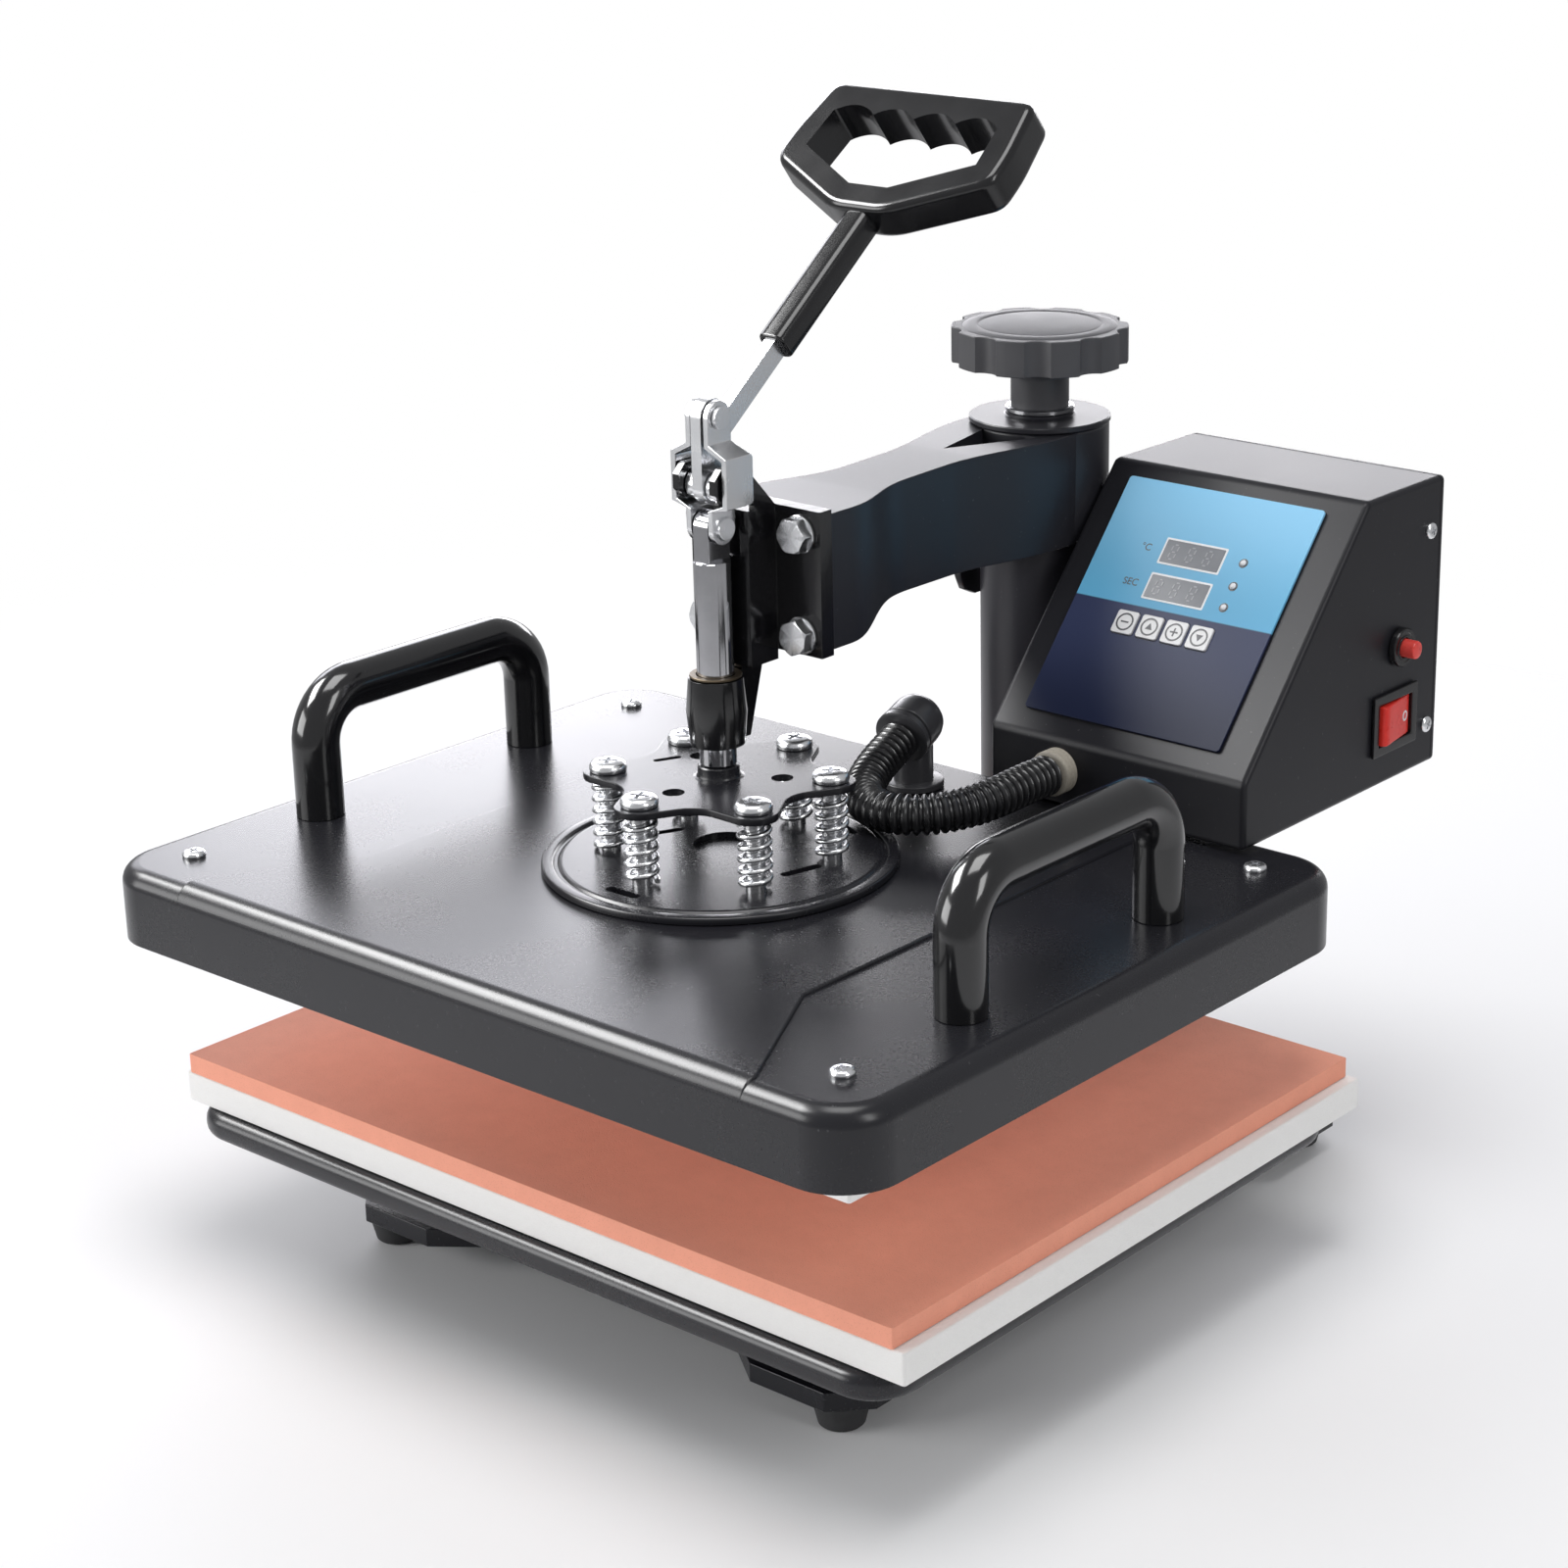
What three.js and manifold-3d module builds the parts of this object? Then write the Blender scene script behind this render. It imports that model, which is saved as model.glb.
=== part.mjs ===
// Combo heat press: swing arm, toggle lever, sprung heated platen, padded lower platen and control box.
// Millimetres, +Z up, +X to the operator's right, +Y to the rear. The floor is z = 0.
// Places are measured from the press axis, the vertical line down the plunger, until the last lines
// move the whole group so that its origin is at the middle of the footprint.
import * as THREE from "three";
import { mergeVertices } from "three/addons/utils/BufferGeometryUtils.js";
import Module from "manifold-3d";

const wasm = await Module();
wasm.setup();

// Driving dimensions

const gap = 0.3; // between pieces that touch
const slip = 0.4; // between pieces that move on each other
const overrun = 2; // how far a cutting body runs past what it cuts
const roundSteps = 24; // sides of a turned piece
const smallSteps = 14;
const cornerSteps = 5; // chords in a rounded corner
const bevelSteps = 3;
const padSteps = 2;
const weld = 1e-4;

const foot = { radius: 9, topRadius: 11.5, height: 11, neckRadius: 5.5, x: 122.5, frontY: -79, rearY: 230 };

const frame = {
  x: 5,
  thick: 8,
  sheet: 3,
  lip: 4,
  lugX: 140,
  lugFrontY: -93,
  lugInnerX: 89,
  bayX: 67,
  bayY: -77,
  lugDepth: 58,
  railX: 120,
  lugTaper: 16,
  rearY: 246,
  openingX: 58,
  openingFrontY: -34,
  openingRearY: 140,
  corner: 14,
  riserX: 52,
  riserWidth: 40,
  riserTopWidth: 28,
  riserFrontY: -66,
  riserRearY: 167,
};

const post = { radius: 26, wall: 4, flangeRadius: 44, flangeThick: 8, y: 208, top: 296 };

const tray = { width: 376, depth: 292, height: 12, bottom: 48, corner: 20, roll: 5, wall: 4, roof: 4, x: 4, y: 14.5 };

const basePad = { width: 386, depth: 292, thick: 13, x: 6, y: 19, corner: 1.5, edge: 0.6 };

const siliconePad = { width: 378, depth: 290, thick: 8.4, x: 5, y: 17.5, corner: 0.9, edge: 0.3 };

const press = { travel: 52.3, closedGap: 0.4 };

const heater = { plate: 4.6, coreInset: 14, coreHeight: 11 };

const cover = {
  width: 398,
  depth: 306,
  height: 31,
  corner: 25,
  wall: 3,
  edge: 8,
  overhang: 9,
  bossRadius: 8,
  bossInsetX: 49,
  bossInsetY: 53,
};

const emboss = { raise: 1.2, railX: 116, flareY: -82, flareX: 150, bevel: 0.6 };

const disc = {
  radius: 71.5,
  thick: 3,
  groove: 62,
  grooveWidth: 2.4,
  grooveDeep: 0.9,
  hole: 12,
  holeX: -6,
  holeY: 8,
  slotX: 38,
  slotY: 5,
  slotLong: 18,
  slotWidth: 4.5,
  slotLeanDeg: 14,
};

const spring = { count: 6, circle: 45, height: 29, coil: 6, wire: 1, turns: 5.5, steps: 8, sides: 5 };

const springPlate = { thick: 3, lobe: 10, waist: 39, bossRadius: 15, bossHeight: 5, holeRadius: 4.2, holeCircle: 27 };

const springScrew = { shank: 4, head: 7.6, headHeight: 4, dome: 1.2 };

const rod = { radius: 7.4, stepBelowPin: 13.6, tongueHalf: 4, tongueWide: 6.3 };

const toggle = { upper: 27.5, lower: 16, pivotZ: 325.5, swingDeg: 160 };

const barrel = { radius: 11, bulge: 12.2, bore: 9.3, bottom: 221.5, top: 248.7 };

const bush = { bore: 7.8, flange: 10.4, flangeThick: 1 };

const bracket = {
  plateHalf: 34,
  plateThick: 7,
  plateBottom: 256,
  plateTop: 315,
  blockHalf: 11,
  blockFrontY: 9,
  blockBottom: 252,
  webHalf: 4,
  webFootY: 15,
  earInner: 8,
  earThick: 3,
  earFrontY: -9,
  earAbove: 8.8,
  earBelow: 4.8,
  earChamfer: 4,
  earCrestY: 7,
};

const pivot = { radius: 3.5, spacerRadius: 6 };

const strap = {
  thick: 2.5,
  inner: 3.4,
  outer: 12,
  tab: 6.5,
  upperTab: 11.2,
  tabHalf: 6.5,
  bulgeHalf: 7.6,
  bulgeY: 1.4,
  upperBend: 4.5,
  lowerBendTop: 5.4,
  lowerBend: 3,
  rivetHead: 4.6,
  rivetHeight: 1.7,
  lowerInner: 4.4,
};

const lever = { half: 2.6, wide: 4.3, footWide: 7, leanDeg: 52, axisOffset: 13.4, start: 16, endDrop: 80 };

const grip = {
  stemStart: 60,
  stemHalfX: 6.7,
  stemHalfDeep: 5.4,
  stemBevel: 1.2,
  deep: 15,
  bevel: 3,
  topQ: 192,
  topHalf: 53,
  sideDrop: 28,
  sideHalf: 56,
  shoulderDrop: 44,
  neckHalf: 13,
  neckDrop: 65,
  bar: 12,
  openHalf: 44,
  openSideDrop: 36,
  openSideHalf: 44,
  openLowDrop: 53,
  openLowHalf: 10,
  fingers: 4,
  fingerDeep: 3,
  corner: 7,
};

const arm = {
  half: 28,
  wall: 4,
  frontY: 32,
  frontBottom: 255.5,
  top: 312,
  hubTop: 313,
  bottom: 264.5,
  noseRearY: 52,
  stepY: 66,
  underY: 86,
  riseStartY: 60,
  riseY: 88,
  rise: 2.5,
  hubRadius: 30,
  hubRoof: 9,
  waistHalf: 17,
  waistFrontY: 96,
  waistRearY: 122,
  flareHalf: 28,
  flareY: 190,
  coreHalf: 13,
  pocketRearY: 138,
  recessTipX: -1,
  recessTipY: 143,
  recessLeftX: -9,
  recessRightX: 19,
  recessRearY: 181,
  recessDeep: 12,
  lugX: 29,
  lugThick: 4,
  lugFrontY: 186.5,
  lugRearY: 201.5,
  lugDrop: 31.8,
  lugSlope: 3.5,
  lugSlopeY: 189.5,
  lugFlatY: 197,
  lugStraight: 22,
};

const hubCap = { radius: 30.6, thick: 2.6, washer: 15, washerThick: 1.6 };

const screw = { radius: 6, bottom: 214, clearance: 0.4 };

const nut = { height: 24 };

const knob = {
  radius: 38,
  lobes: 10,
  lobeDeep: 3.2,
  neck: 12.6,
  bottom: 340.5,
  top: 356,
  bevel: 3,
  dish: 1.2,
  dishRadius: 27,
};

const lift = { ringRadius: 21.6 };

const box = {
  left: 31.5,
  width: 129,
  frontY: 133,
  slopeRearY: 219.5,
  rearY: 275.5,
  bottom: 172.5,
  lipTop: 201,
  top: 299,
  wall: 2.5,
  edge: 3,
  back: 2.5,
};

const boxBracket = { left: 20, frontY: 212, rearY: 234, bottom: 268, top: 288 };

const panel = {
  left: 45,
  width: 98.5,
  low: 10.5,
  high: 123,
  thick: 1.2,
  screenLeft: 76.4,
  screenWidth: 31.4,
  screenLow: 68.6,
  screenHigh: 98,
  moduleThick: 9,
  keySize: 11,
  keyPitch: 12.5,
  keyFirst: 75,
  keyCount: 4,
  keyAt: 56.5,
  keyProud: 1,
  keyTravel: 0.8,
  windowMargin: 3,
};

const board = { thick: 1.6, below: 11, margin: 9, boss: 3 };

const rocker = {
  y: 243.5,
  z: 200,
  width: 34,
  height: 26.5,
  flange: 1.6,
  bezel: 2.6,
  deep: 17,
  proud: 2.2,
  tiltDeg: 8,
  swingDeg: 16,
  pivotRadius: 30,
};

const breaker = { y: 246, z: 231.5, nut: 8.4, nutThick: 3.4, body: 6.6, deep: 18, button: 3.9, proud: 6, travel: 3 };

const inlet = { x: 96, z: 200, radius: 8, flange: 10.5, bore: 4.2, out: 9, inside: 7, flangeThick: 2.5 };

const hose = { radius: 8.6, root: 7.3, bore: 5.4, pitch: 3.7, sides: 8, boreEvery: 5 };

const collar = { radius: 9.7, length: 7, neck: 7.4, inside: 5, x: 68, z: 188 };

const gland = {
  mouth: new THREE.Vector3(5, 106, 196),
  aim: new THREE.Vector3(0.17, -0.94, -0.27),
  nutRadius: 12.2,
  nutLength: 5,
  capRadius: 11.2,
  capLength: 17,
  cone: 4,
  stem: 8.5,
  baseRadius: 13,
  baseThick: 3,
};

// The hose's middle line between its two straight ends, chosen by hand along the photographed bend
const hoseBend = [
  [9, 84.6, 189.6],
  [11.2, 77.8, 187.6],
  [14.5, 71.4, 186.1],
  [19, 65.5, 185.2],
  [24.7, 60.6, 184.7],
  [31.4, 57.6, 184.6],
  [38.7, 56.9, 184.6],
  [45.9, 58.5, 184.6],
  [52.2, 62.4, 184.7],
  [57.2, 68, 185],
  [61, 74.5, 185.4],
  [64, 81.3, 186],
  [66.1, 88.3, 186.7],
  [67.3, 95.6, 187.3],
];

const handle = { inset: 28, frontY: -60, rearY: 60, tube: 10, top: 222, bend: 22, sides: 12, bendSteps: 6 };

// Heights that follow from the sizes above

const frameBottom = foot.height;
const frameTop = frameBottom + frame.thick;
const trayTop = tray.bottom + tray.height;
const basePadBottom = trayTop + gap;
const siliconeBottom = basePadBottom + basePad.thick + gap;
const padTop = siliconeBottom + siliconePad.thick;
const heaterBottom = padTop + press.travel + press.closedGap;
const coverBottom = heaterBottom + heater.plate + gap;
const coverTop = coverBottom + cover.height;
const embossTop = coverTop + emboss.raise;
const discBottom = embossTop + gap;
const discTop = discBottom + disc.thick;
const springBottom = discTop + gap;
const springPlateBottom = springBottom + spring.height + gap;
const springPlateTop = springPlateBottom + springPlate.thick;
const bossTop = springPlateTop + springPlate.bossHeight;
const rodBottom = bossTop + gap;
const linkTopZ = toggle.pivotZ + toggle.upper;
const linkLowZ = toggle.pivotZ - toggle.lower;
const leverEnd = grip.topQ - lever.endDrop;
const neckQ = grip.topQ - grip.neckDrop;
const shoulderQ = grip.topQ - grip.shoulderDrop;
const sideQ = grip.topQ - grip.sideDrop;
const openTopQ = grip.topQ - grip.bar;
const openSideQ = grip.topQ - grip.openSideDrop;
const openLowQ = grip.topQ - grip.openLowDrop;

// Materials

function material(color, roughness, metalness) {
  return new THREE.MeshStandardMaterial({ color, roughness, metalness });
}

const satinBlack = material(0x1d1d22, 0.42, 0.3);
const glossBlack = material(0x0d0d10, 0.18, 0.2);
const plasticBlack = material(0x1b1b1e, 0.45, 0);
const greyBlack = material(0x3a3a42, 0.4, 0.2);
const rubber = material(0x232325, 0.8, 0);
const zinc = material(0xc9ccd2, 0.28, 1);
const chrome = material(0xb9bbc0, 0.12, 1);
const castAluminium = material(0xc9c6c4, 0.4, 1);
const silicone = material(0xe2917c, 0.85, 0);
const paleFoam = material(0xeeebe6, 0.9, 0);
const brass = material(0xb08d4a, 0.35, 1);
const boardGreen = material(0x1f5b3a, 0.6, 0);
const panelBlue = material(0x4f9fce, 0.3, 0);
const screenGrey = material(0x4a505b, 0.25, 0);
const keyWhite = material(0xe6e6e6, 0.4, 0);
const red = material(0xc9231a, 0.25, 0);
const cream = material(0x9d9488, 0.5, 0);

// Tools for making solids

const group = new THREE.Group();

// A closed solid from a three.js geometry, with its faces turned outwards
function solidOf(geometry) {
  const bare = geometry.clone();
  bare.deleteAttribute("normal");
  bare.deleteAttribute("uv");
  const merged = mergeVertices(bare, weld);
  const triVerts = new Uint32Array(merged.index.array);
  const vertProperties = merged.attributes.position.array;
  const made = new wasm.Manifold(new wasm.Mesh({ numProp: 3, vertProperties, triVerts }));
  if (made.volume() > 0) return made;
  for (let i = 0; i < triVerts.length; i += 3) {
    [triVerts[i + 1], triVerts[i + 2]] = [triVerts[i + 2], triVerts[i + 1]];
  }
  return new wasm.Manifold(new wasm.Mesh({ numProp: 3, vertProperties, triVerts }));
}

function join(...solids) {
  return solids.reduce((all, one) => all.add(one));
}

function cut(solid, ...cutters) {
  return cutters.reduce((all, one) => all.subtract(one), solid);
}

function add(name, solid, look) {
  const mesh = solid.getMesh();
  const positions = new Float32Array(mesh.numVert * 3);
  for (let i = 0; i < mesh.numVert; i++) {
    positions.set(mesh.vertProperties.subarray(i * mesh.numProp, i * mesh.numProp + 3), i * 3);
  }
  const geometry = new THREE.BufferGeometry();
  geometry.setAttribute("position", new THREE.BufferAttribute(positions, 3));
  geometry.setIndex(new THREE.BufferAttribute(new Uint32Array(mesh.triVerts), 1));
  geometry.computeVertexNormals();
  const made = new THREE.Mesh(geometry, look);
  made.name = name;
  group.add(made);
}

function shapeOf(points) {
  return new THREE.Shape(points.map(([x, y]) => new THREE.Vector2(x, y)));
}

function roundedRectangle(width, depth, radius) {
  const x = width / 2;
  const y = depth / 2;
  const shape = new THREE.Shape();
  shape.moveTo(-x + radius, -y);
  shape.lineTo(x - radius, -y);
  shape.absarc(x - radius, -y + radius, radius, -Math.PI / 2, 0, false);
  shape.lineTo(x, y - radius);
  shape.absarc(x - radius, y - radius, radius, 0, Math.PI / 2, false);
  shape.lineTo(-x + radius, y);
  shape.absarc(-x + radius, y - radius, radius, Math.PI / 2, Math.PI, false);
  shape.lineTo(-x, -y + radius);
  shape.absarc(-x + radius, -y + radius, radius, Math.PI, 1.5 * Math.PI, false);
  return shape;
}

// A shape extruded from z = 0 to height; a bevel stays inside the outline and the height
function extrude(shape, height, bevel = 0, curveSegments = cornerSteps) {
  const geometry = new THREE.ExtrudeGeometry(shape, {
    depth: height - 2 * bevel,
    bevelEnabled: bevel > 0,
    bevelThickness: bevel,
    bevelSize: bevel,
    bevelOffset: -bevel,
    bevelSegments: bevelSteps,
    curveSegments,
    steps: 1,
  });
  return geometry.translate(0, 0, bevel);
}

const alongX = new THREE.Matrix4().makeBasis(
  new THREE.Vector3(0, 1, 0),
  new THREE.Vector3(0, 0, 1),
  new THREE.Vector3(1, 0, 0),
);

const alongY = new THREE.Matrix4().makeBasis(
  new THREE.Vector3(1, 0, 0),
  new THREE.Vector3(0, 0, 1),
  new THREE.Vector3(0, -1, 0),
);

// A profile drawn in (y, z), extruded from x = from to x = to
function extrudeX(shape, from, to, bevel = 0, curveSegments = cornerSteps) {
  return extrude(shape, to - from, bevel, curveSegments).applyMatrix4(alongX).translate(from, 0, 0);
}

// A profile drawn in (x, z), extruded from y = from to y = to
function extrudeY(shape, from, to, bevel = 0, curveSegments = cornerSteps) {
  return extrude(shape, to - from, bevel, curveSegments).applyMatrix4(alongY).translate(0, to, 0);
}

function block(x0, x1, y0, y1, z0, z1) {
  const geometry = new THREE.BoxGeometry(x1 - x0, y1 - y0, z1 - z0);
  return solidOf(geometry.translate((x0 + x1) / 2, (y0 + y1) / 2, (z0 + z1) / 2));
}

// A turned solid about the Z axis from pairs of radius and height
function turned(profile, steps = roundSteps) {
  const points = profile.map(([r, z]) => new THREE.Vector2(r, z));
  return new THREE.LatheGeometry(points, steps).rotateX(Math.PI / 2);
}

function rodZ(radius, z0, z1, x = 0, y = 0, steps = roundSteps) {
  return solidOf(
    turned([[0, z0], [radius, z0], [radius, z1], [0, z1]], steps).translate(x, y, 0),
  );
}

function rodX(radius, x0, x1, y, z, steps = smallSteps) {
  return solidOf(
    turned([[0, x0], [radius, x0], [radius, x1], [0, x1]], steps).rotateY(Math.PI / 2).translate(0, y, z),
  );
}

function rodY(radius, y0, y1, x, z, steps = roundSteps) {
  return solidOf(
    turned([[0, y0], [radius, y0], [radius, y1], [0, y1]], steps).rotateX(-Math.PI / 2).translate(x, 0, z),
  );
}

// Places of the spring screws round the press axis: the first stands towards the operator
function springPlace(index) {
  const angle = -Math.PI / 2 + (index * 2 * Math.PI) / spring.count;
  return [spring.circle * Math.cos(angle), spring.circle * Math.sin(angle)];
}

const springPlaces = Array.from({ length: spring.count }, (_, index) => springPlace(index));

// Base frame: a pressed pan with a lug at each corner and two risers that carry the lower platen

function frameOutline() {
  const shape = new THREE.Shape();
  const lugRearOfFront = frame.lugFrontY + frame.lugDepth;
  const lugFrontOfRear = frame.rearY - frame.lugDepth;
  const right = [
    [0, frame.bayY],
    [frame.bayX, frame.bayY],
    [frame.lugInnerX, frame.lugFrontY],
    [frame.lugX - frame.corner, frame.lugFrontY],
    [frame.lugX, frame.lugFrontY + frame.corner],
    [frame.lugX, lugRearOfFront],
    [frame.railX, lugRearOfFront + frame.lugTaper],
    [frame.railX, lugFrontOfRear - frame.lugTaper],
    [frame.lugX, lugFrontOfRear],
    [frame.lugX, frame.rearY - frame.corner],
    [frame.lugX - frame.corner, frame.rearY],
  ];
  const left = right.slice(1).reverse().map(([x, y]) => [-x, y]);
  const outline = [...right, ...left].map(([x, y]) => [x + frame.x, y]);
  shape.moveTo(...outline[0]);
  for (const [x, y] of outline.slice(1)) shape.lineTo(x, y);
  shape.closePath();
  return shape;
}

function riser(x) {
  const low = frame.riserWidth / 2;
  const high = frame.riserTopWidth / 2;
  const top = tray.bottom - gap;
  const outside = shapeOf([[-low, frameTop - frame.sheet], [low, frameTop - frame.sheet], [high, top], [-high, top]]);
  const inside = shapeOf([
    [-low + frame.sheet, frameBottom - overrun],
    [low - frame.sheet, frameBottom - overrun],
    [high - frame.sheet, top - frame.sheet],
    [-high + frame.sheet, top - frame.sheet],
  ]);
  const solid = solidOf(extrudeY(outside, frame.riserFrontY, frame.riserRearY)).translate([x, 0, 0]);
  const hollow = solidOf(extrudeY(inside, frame.riserFrontY + frame.sheet, frame.riserRearY - frame.sheet));
  return { solid, hollow: hollow.translate([x, 0, 0]) };
}

function baseFrame() {
  const roof = frameTop - frame.sheet;
  const plate = solidOf(extrude(frameOutline(), frame.thick)).translate([0, 0, frameBottom]);
  const opening = block(
    frame.x - frame.openingX,
    frame.x + frame.openingX,
    frame.openingFrontY,
    frame.openingRearY,
    frameBottom - overrun,
    frameTop + overrun,
  );
  const under = frameBottom - overrun;
  const innerRail = frame.railX - frame.lip;
  const sideHollows = [-1, 1].map((side) =>
    block(
      frame.x + Math.min(side * (frame.openingX + frame.lip), side * innerRail),
      frame.x + Math.max(side * (frame.openingX + frame.lip), side * innerRail),
      frame.bayY + frame.lip,
      frame.rearY - frame.lip,
      under,
      roof,
    ),
  );
  const frontHollow = block(
    frame.x - innerRail,
    frame.x + innerRail,
    frame.bayY + frame.lip,
    frame.openingFrontY - frame.lip,
    under,
    roof,
  );
  const rearHollow = block(
    frame.x - innerRail,
    frame.x + innerRail,
    frame.openingRearY + frame.lip,
    frame.rearY - frame.lip,
    under,
    roof,
  );
  const risers = [riser(frame.x - frame.riserX), riser(frame.x + frame.riserX)];
  const pads = footPlaces().map(([, x, y]) => rodZ(foot.topRadius, frameBottom, frameTop, x, y));
  const cuts = [opening, ...sideHollows, frontHollow, rearHollow];
  const pan = join(cut(plate, ...cuts), ...pads);
  const necks = footPlaces().map(([, x, y]) => rodZ(foot.neckRadius + gap, under, roof, x, y));
  const walls = risers.map((one) => one.solid);
  const hollows = risers.map((one) => one.hollow);
  add("base_frame", cut(join(pan, ...walls), ...hollows, ...necks), satinBlack);
}

// Rubber feet

function footPlaces() {
  return [
    ["foot_front_left", frame.x - foot.x, foot.frontY],
    ["foot_front_right", frame.x + foot.x, foot.frontY],
    ["foot_rear_left", frame.x - foot.x, foot.rearY],
    ["foot_rear_right", frame.x + foot.x, foot.rearY],
  ];
}

function feet() {
  const seat = frameBottom - gap;
  const neckTop = frameTop - frame.sheet - gap;
  for (const [name, x, y] of footPlaces()) {
    const profile = [
      [0, 0],
      [foot.radius, 0],
      [foot.topRadius, seat],
      [foot.neckRadius, seat],
      [foot.neckRadius, neckTop],
      [0, neckTop],
    ];
    add(name, solidOf(turned(profile)).translate([x, y, 0]), rubber);
  }
}

// Post: a flanged tube with a threaded plug at its top

function postTube() {
  const bottom = frameTop + gap;
  const profile = [
    [post.radius - post.wall, bottom],
    [post.flangeRadius, bottom],
    [post.flangeRadius, bottom + post.flangeThick],
    [post.radius, bottom + post.flangeThick],
    [post.radius, post.top],
    [post.radius - post.wall, post.top],
    [post.radius - post.wall, bottom],
  ];
  add("post", solidOf(turned(profile)).translate([0, post.y, 0]), greyBlack);
}

function postNut() {
  const outer = post.radius - post.wall - gap;
  const plug = rodZ(outer, post.top - nut.height, post.top, 0, post.y);
  const bore = rodZ(screw.radius + screw.clearance, post.top - nut.height - overrun, post.top + overrun, 0, post.y);
  add("post_nut", cut(plug, bore), brass);
}

// Lower platen: a tray with a rolled rim, and its two pads

function lowerPlaten() {
  const outline = roundedRectangle(tray.width, tray.depth, tray.corner);
  const outside = solidOf(extrude(outline, tray.height, tray.roll));
  const inner = roundedRectangle(
    tray.width - 2 * (tray.roll + tray.wall),
    tray.depth - 2 * (tray.roll + tray.wall),
    tray.corner - tray.roll,
  );
  const hollow = solidOf(extrude(inner, tray.height - tray.roof + overrun)).translate([0, 0, -overrun]);
  const half = frame.riserX + frame.riserWidth / 2;
  const middle = frame.x - tray.x;
  const keel = block(
    middle - half,
    middle + half,
    frame.riserFrontY - tray.y,
    tray.depth / 2 - tray.roll,
    0,
    tray.height - tray.roof + weld,
  );
  const made = join(cut(outside, hollow), keel);
  add("lower_platen", made.translate([tray.x, tray.y, tray.bottom]), satinBlack);
}

function pads() {
  const foamOutline = roundedRectangle(basePad.width, basePad.depth, basePad.corner);
  const foam = solidOf(extrude(foamOutline, basePad.thick, basePad.edge, padSteps));
  add("base_pad", foam.translate([basePad.x, basePad.y, basePadBottom]), paleFoam);
  const sheetOutline = roundedRectangle(siliconePad.width, siliconePad.depth, siliconePad.corner);
  const sheet = solidOf(extrude(sheetOutline, siliconePad.thick, siliconePad.edge, padSteps));
  add("silicone_pad", sheet.translate([siliconePad.x, siliconePad.y, siliconeBottom]), silicone);
}

// Upper platen: heater, pressed cover, spring disc and side handles

function heaterPlate() {
  const halfX = cover.width / 2 - cover.overhang;
  const halfY = cover.depth / 2 - cover.overhang;
  const plate = block(-halfX, halfX, -halfY, halfY, heaterBottom, heaterBottom + heater.plate);
  const coreX = halfX - heater.coreInset;
  const coreY = halfY - heater.coreInset;
  const core = block(-coreX, coreX, -coreY, coreY, heaterBottom, heaterBottom + heater.plate + heater.coreHeight);
  add("heater_plate", join(plate, core), castAluminium);
}

function embossShape() {
  const front = -cover.depth / 2 + cover.edge;
  const rear = cover.depth / 2 - cover.edge;
  return shapeOf([
    [-emboss.flareX, front],
    [emboss.flareX, front],
    [emboss.railX, emboss.flareY],
    [emboss.railX, rear],
    [-emboss.railX, rear],
    [-emboss.railX, emboss.flareY],
  ]);
}

function platenCover() {
  const outline = roundedRectangle(cover.width, cover.depth, cover.corner);
  const tall = cover.height + cover.edge;
  const outside = solidOf(extrude(outline, tall, cover.edge)).translate([0, 0, coverBottom - cover.edge]);
  const trim = block(
    -cover.width,
    cover.width,
    -cover.depth,
    cover.depth,
    coverBottom - cover.edge - overrun,
    coverBottom,
  );
  const innerOutline = roundedRectangle(
    cover.width - 2 * cover.wall,
    cover.depth - 2 * cover.wall,
    cover.corner - cover.wall,
  );
  const innerEdge = cover.edge - cover.wall;
  const hollow = solidOf(extrude(innerOutline, tall - cover.wall, innerEdge)).translate([
    0,
    0,
    coverBottom - cover.edge,
  ]);
  const raised = solidOf(extrude(embossShape(), emboss.raise + emboss.bevel + cover.wall / 2, emboss.bevel));
  const lowered = raised.translate([0, 0, embossTop - emboss.raise - emboss.bevel - cover.wall / 2]);
  const bossBottom = heaterBottom + heater.plate + heater.coreHeight + gap;
  const bosses = [];
  const bossX = cover.width / 2 - cover.bossInsetX;
  const bossY = cover.depth / 2 - cover.bossInsetY;
  for (const x of [-bossX, bossX]) {
    for (const y of [-bossY, bossY]) {
      bosses.push(rodZ(cover.bossRadius, bossBottom, coverTop - cover.wall / 2, x, y, smallSteps));
    }
  }
  add("platen_cover", join(cut(outside, trim, hollow), lowered, ...bosses), satinBlack);
}

function springDisc() {
  const groove = disc.groove;
  const profile = [
    [0, discBottom],
    [disc.radius, discBottom],
    [disc.radius, discTop],
    [groove + disc.grooveWidth, discTop],
    [groove + disc.grooveWidth, discTop - disc.grooveDeep],
    [groove, discTop - disc.grooveDeep],
    [groove, discTop],
    [0, discTop],
  ];
  const made = solidOf(turned(profile, roundSteps + smallSteps));
  const holes = springPlaces.map(([x, y]) =>
    rodZ(springScrew.shank + gap, discBottom - overrun, discTop + overrun, x, y, smallSteps),
  );
  const centre = rodZ(disc.hole, discBottom - overrun, discTop + overrun, disc.holeX, disc.holeY);
  const slots = [discSlot(-1), discSlot(1)];
  add("spring_disc", cut(made, centre, ...holes, ...slots), satinBlack);
}

// A slot with round ends beside the centre hole, between the front and the rear screws
function discSlot(side) {
  const outline = roundedRectangle(disc.slotWidth, disc.slotLong, disc.slotWidth / 2 - weld);
  const slot = solidOf(extrude(outline, disc.thick + 2 * overrun));
  return slot
    .rotate([0, 0, -side * disc.slotLeanDeg])
    .translate([side * disc.slotX, disc.slotY, discBottom - overrun]);
}

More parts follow.
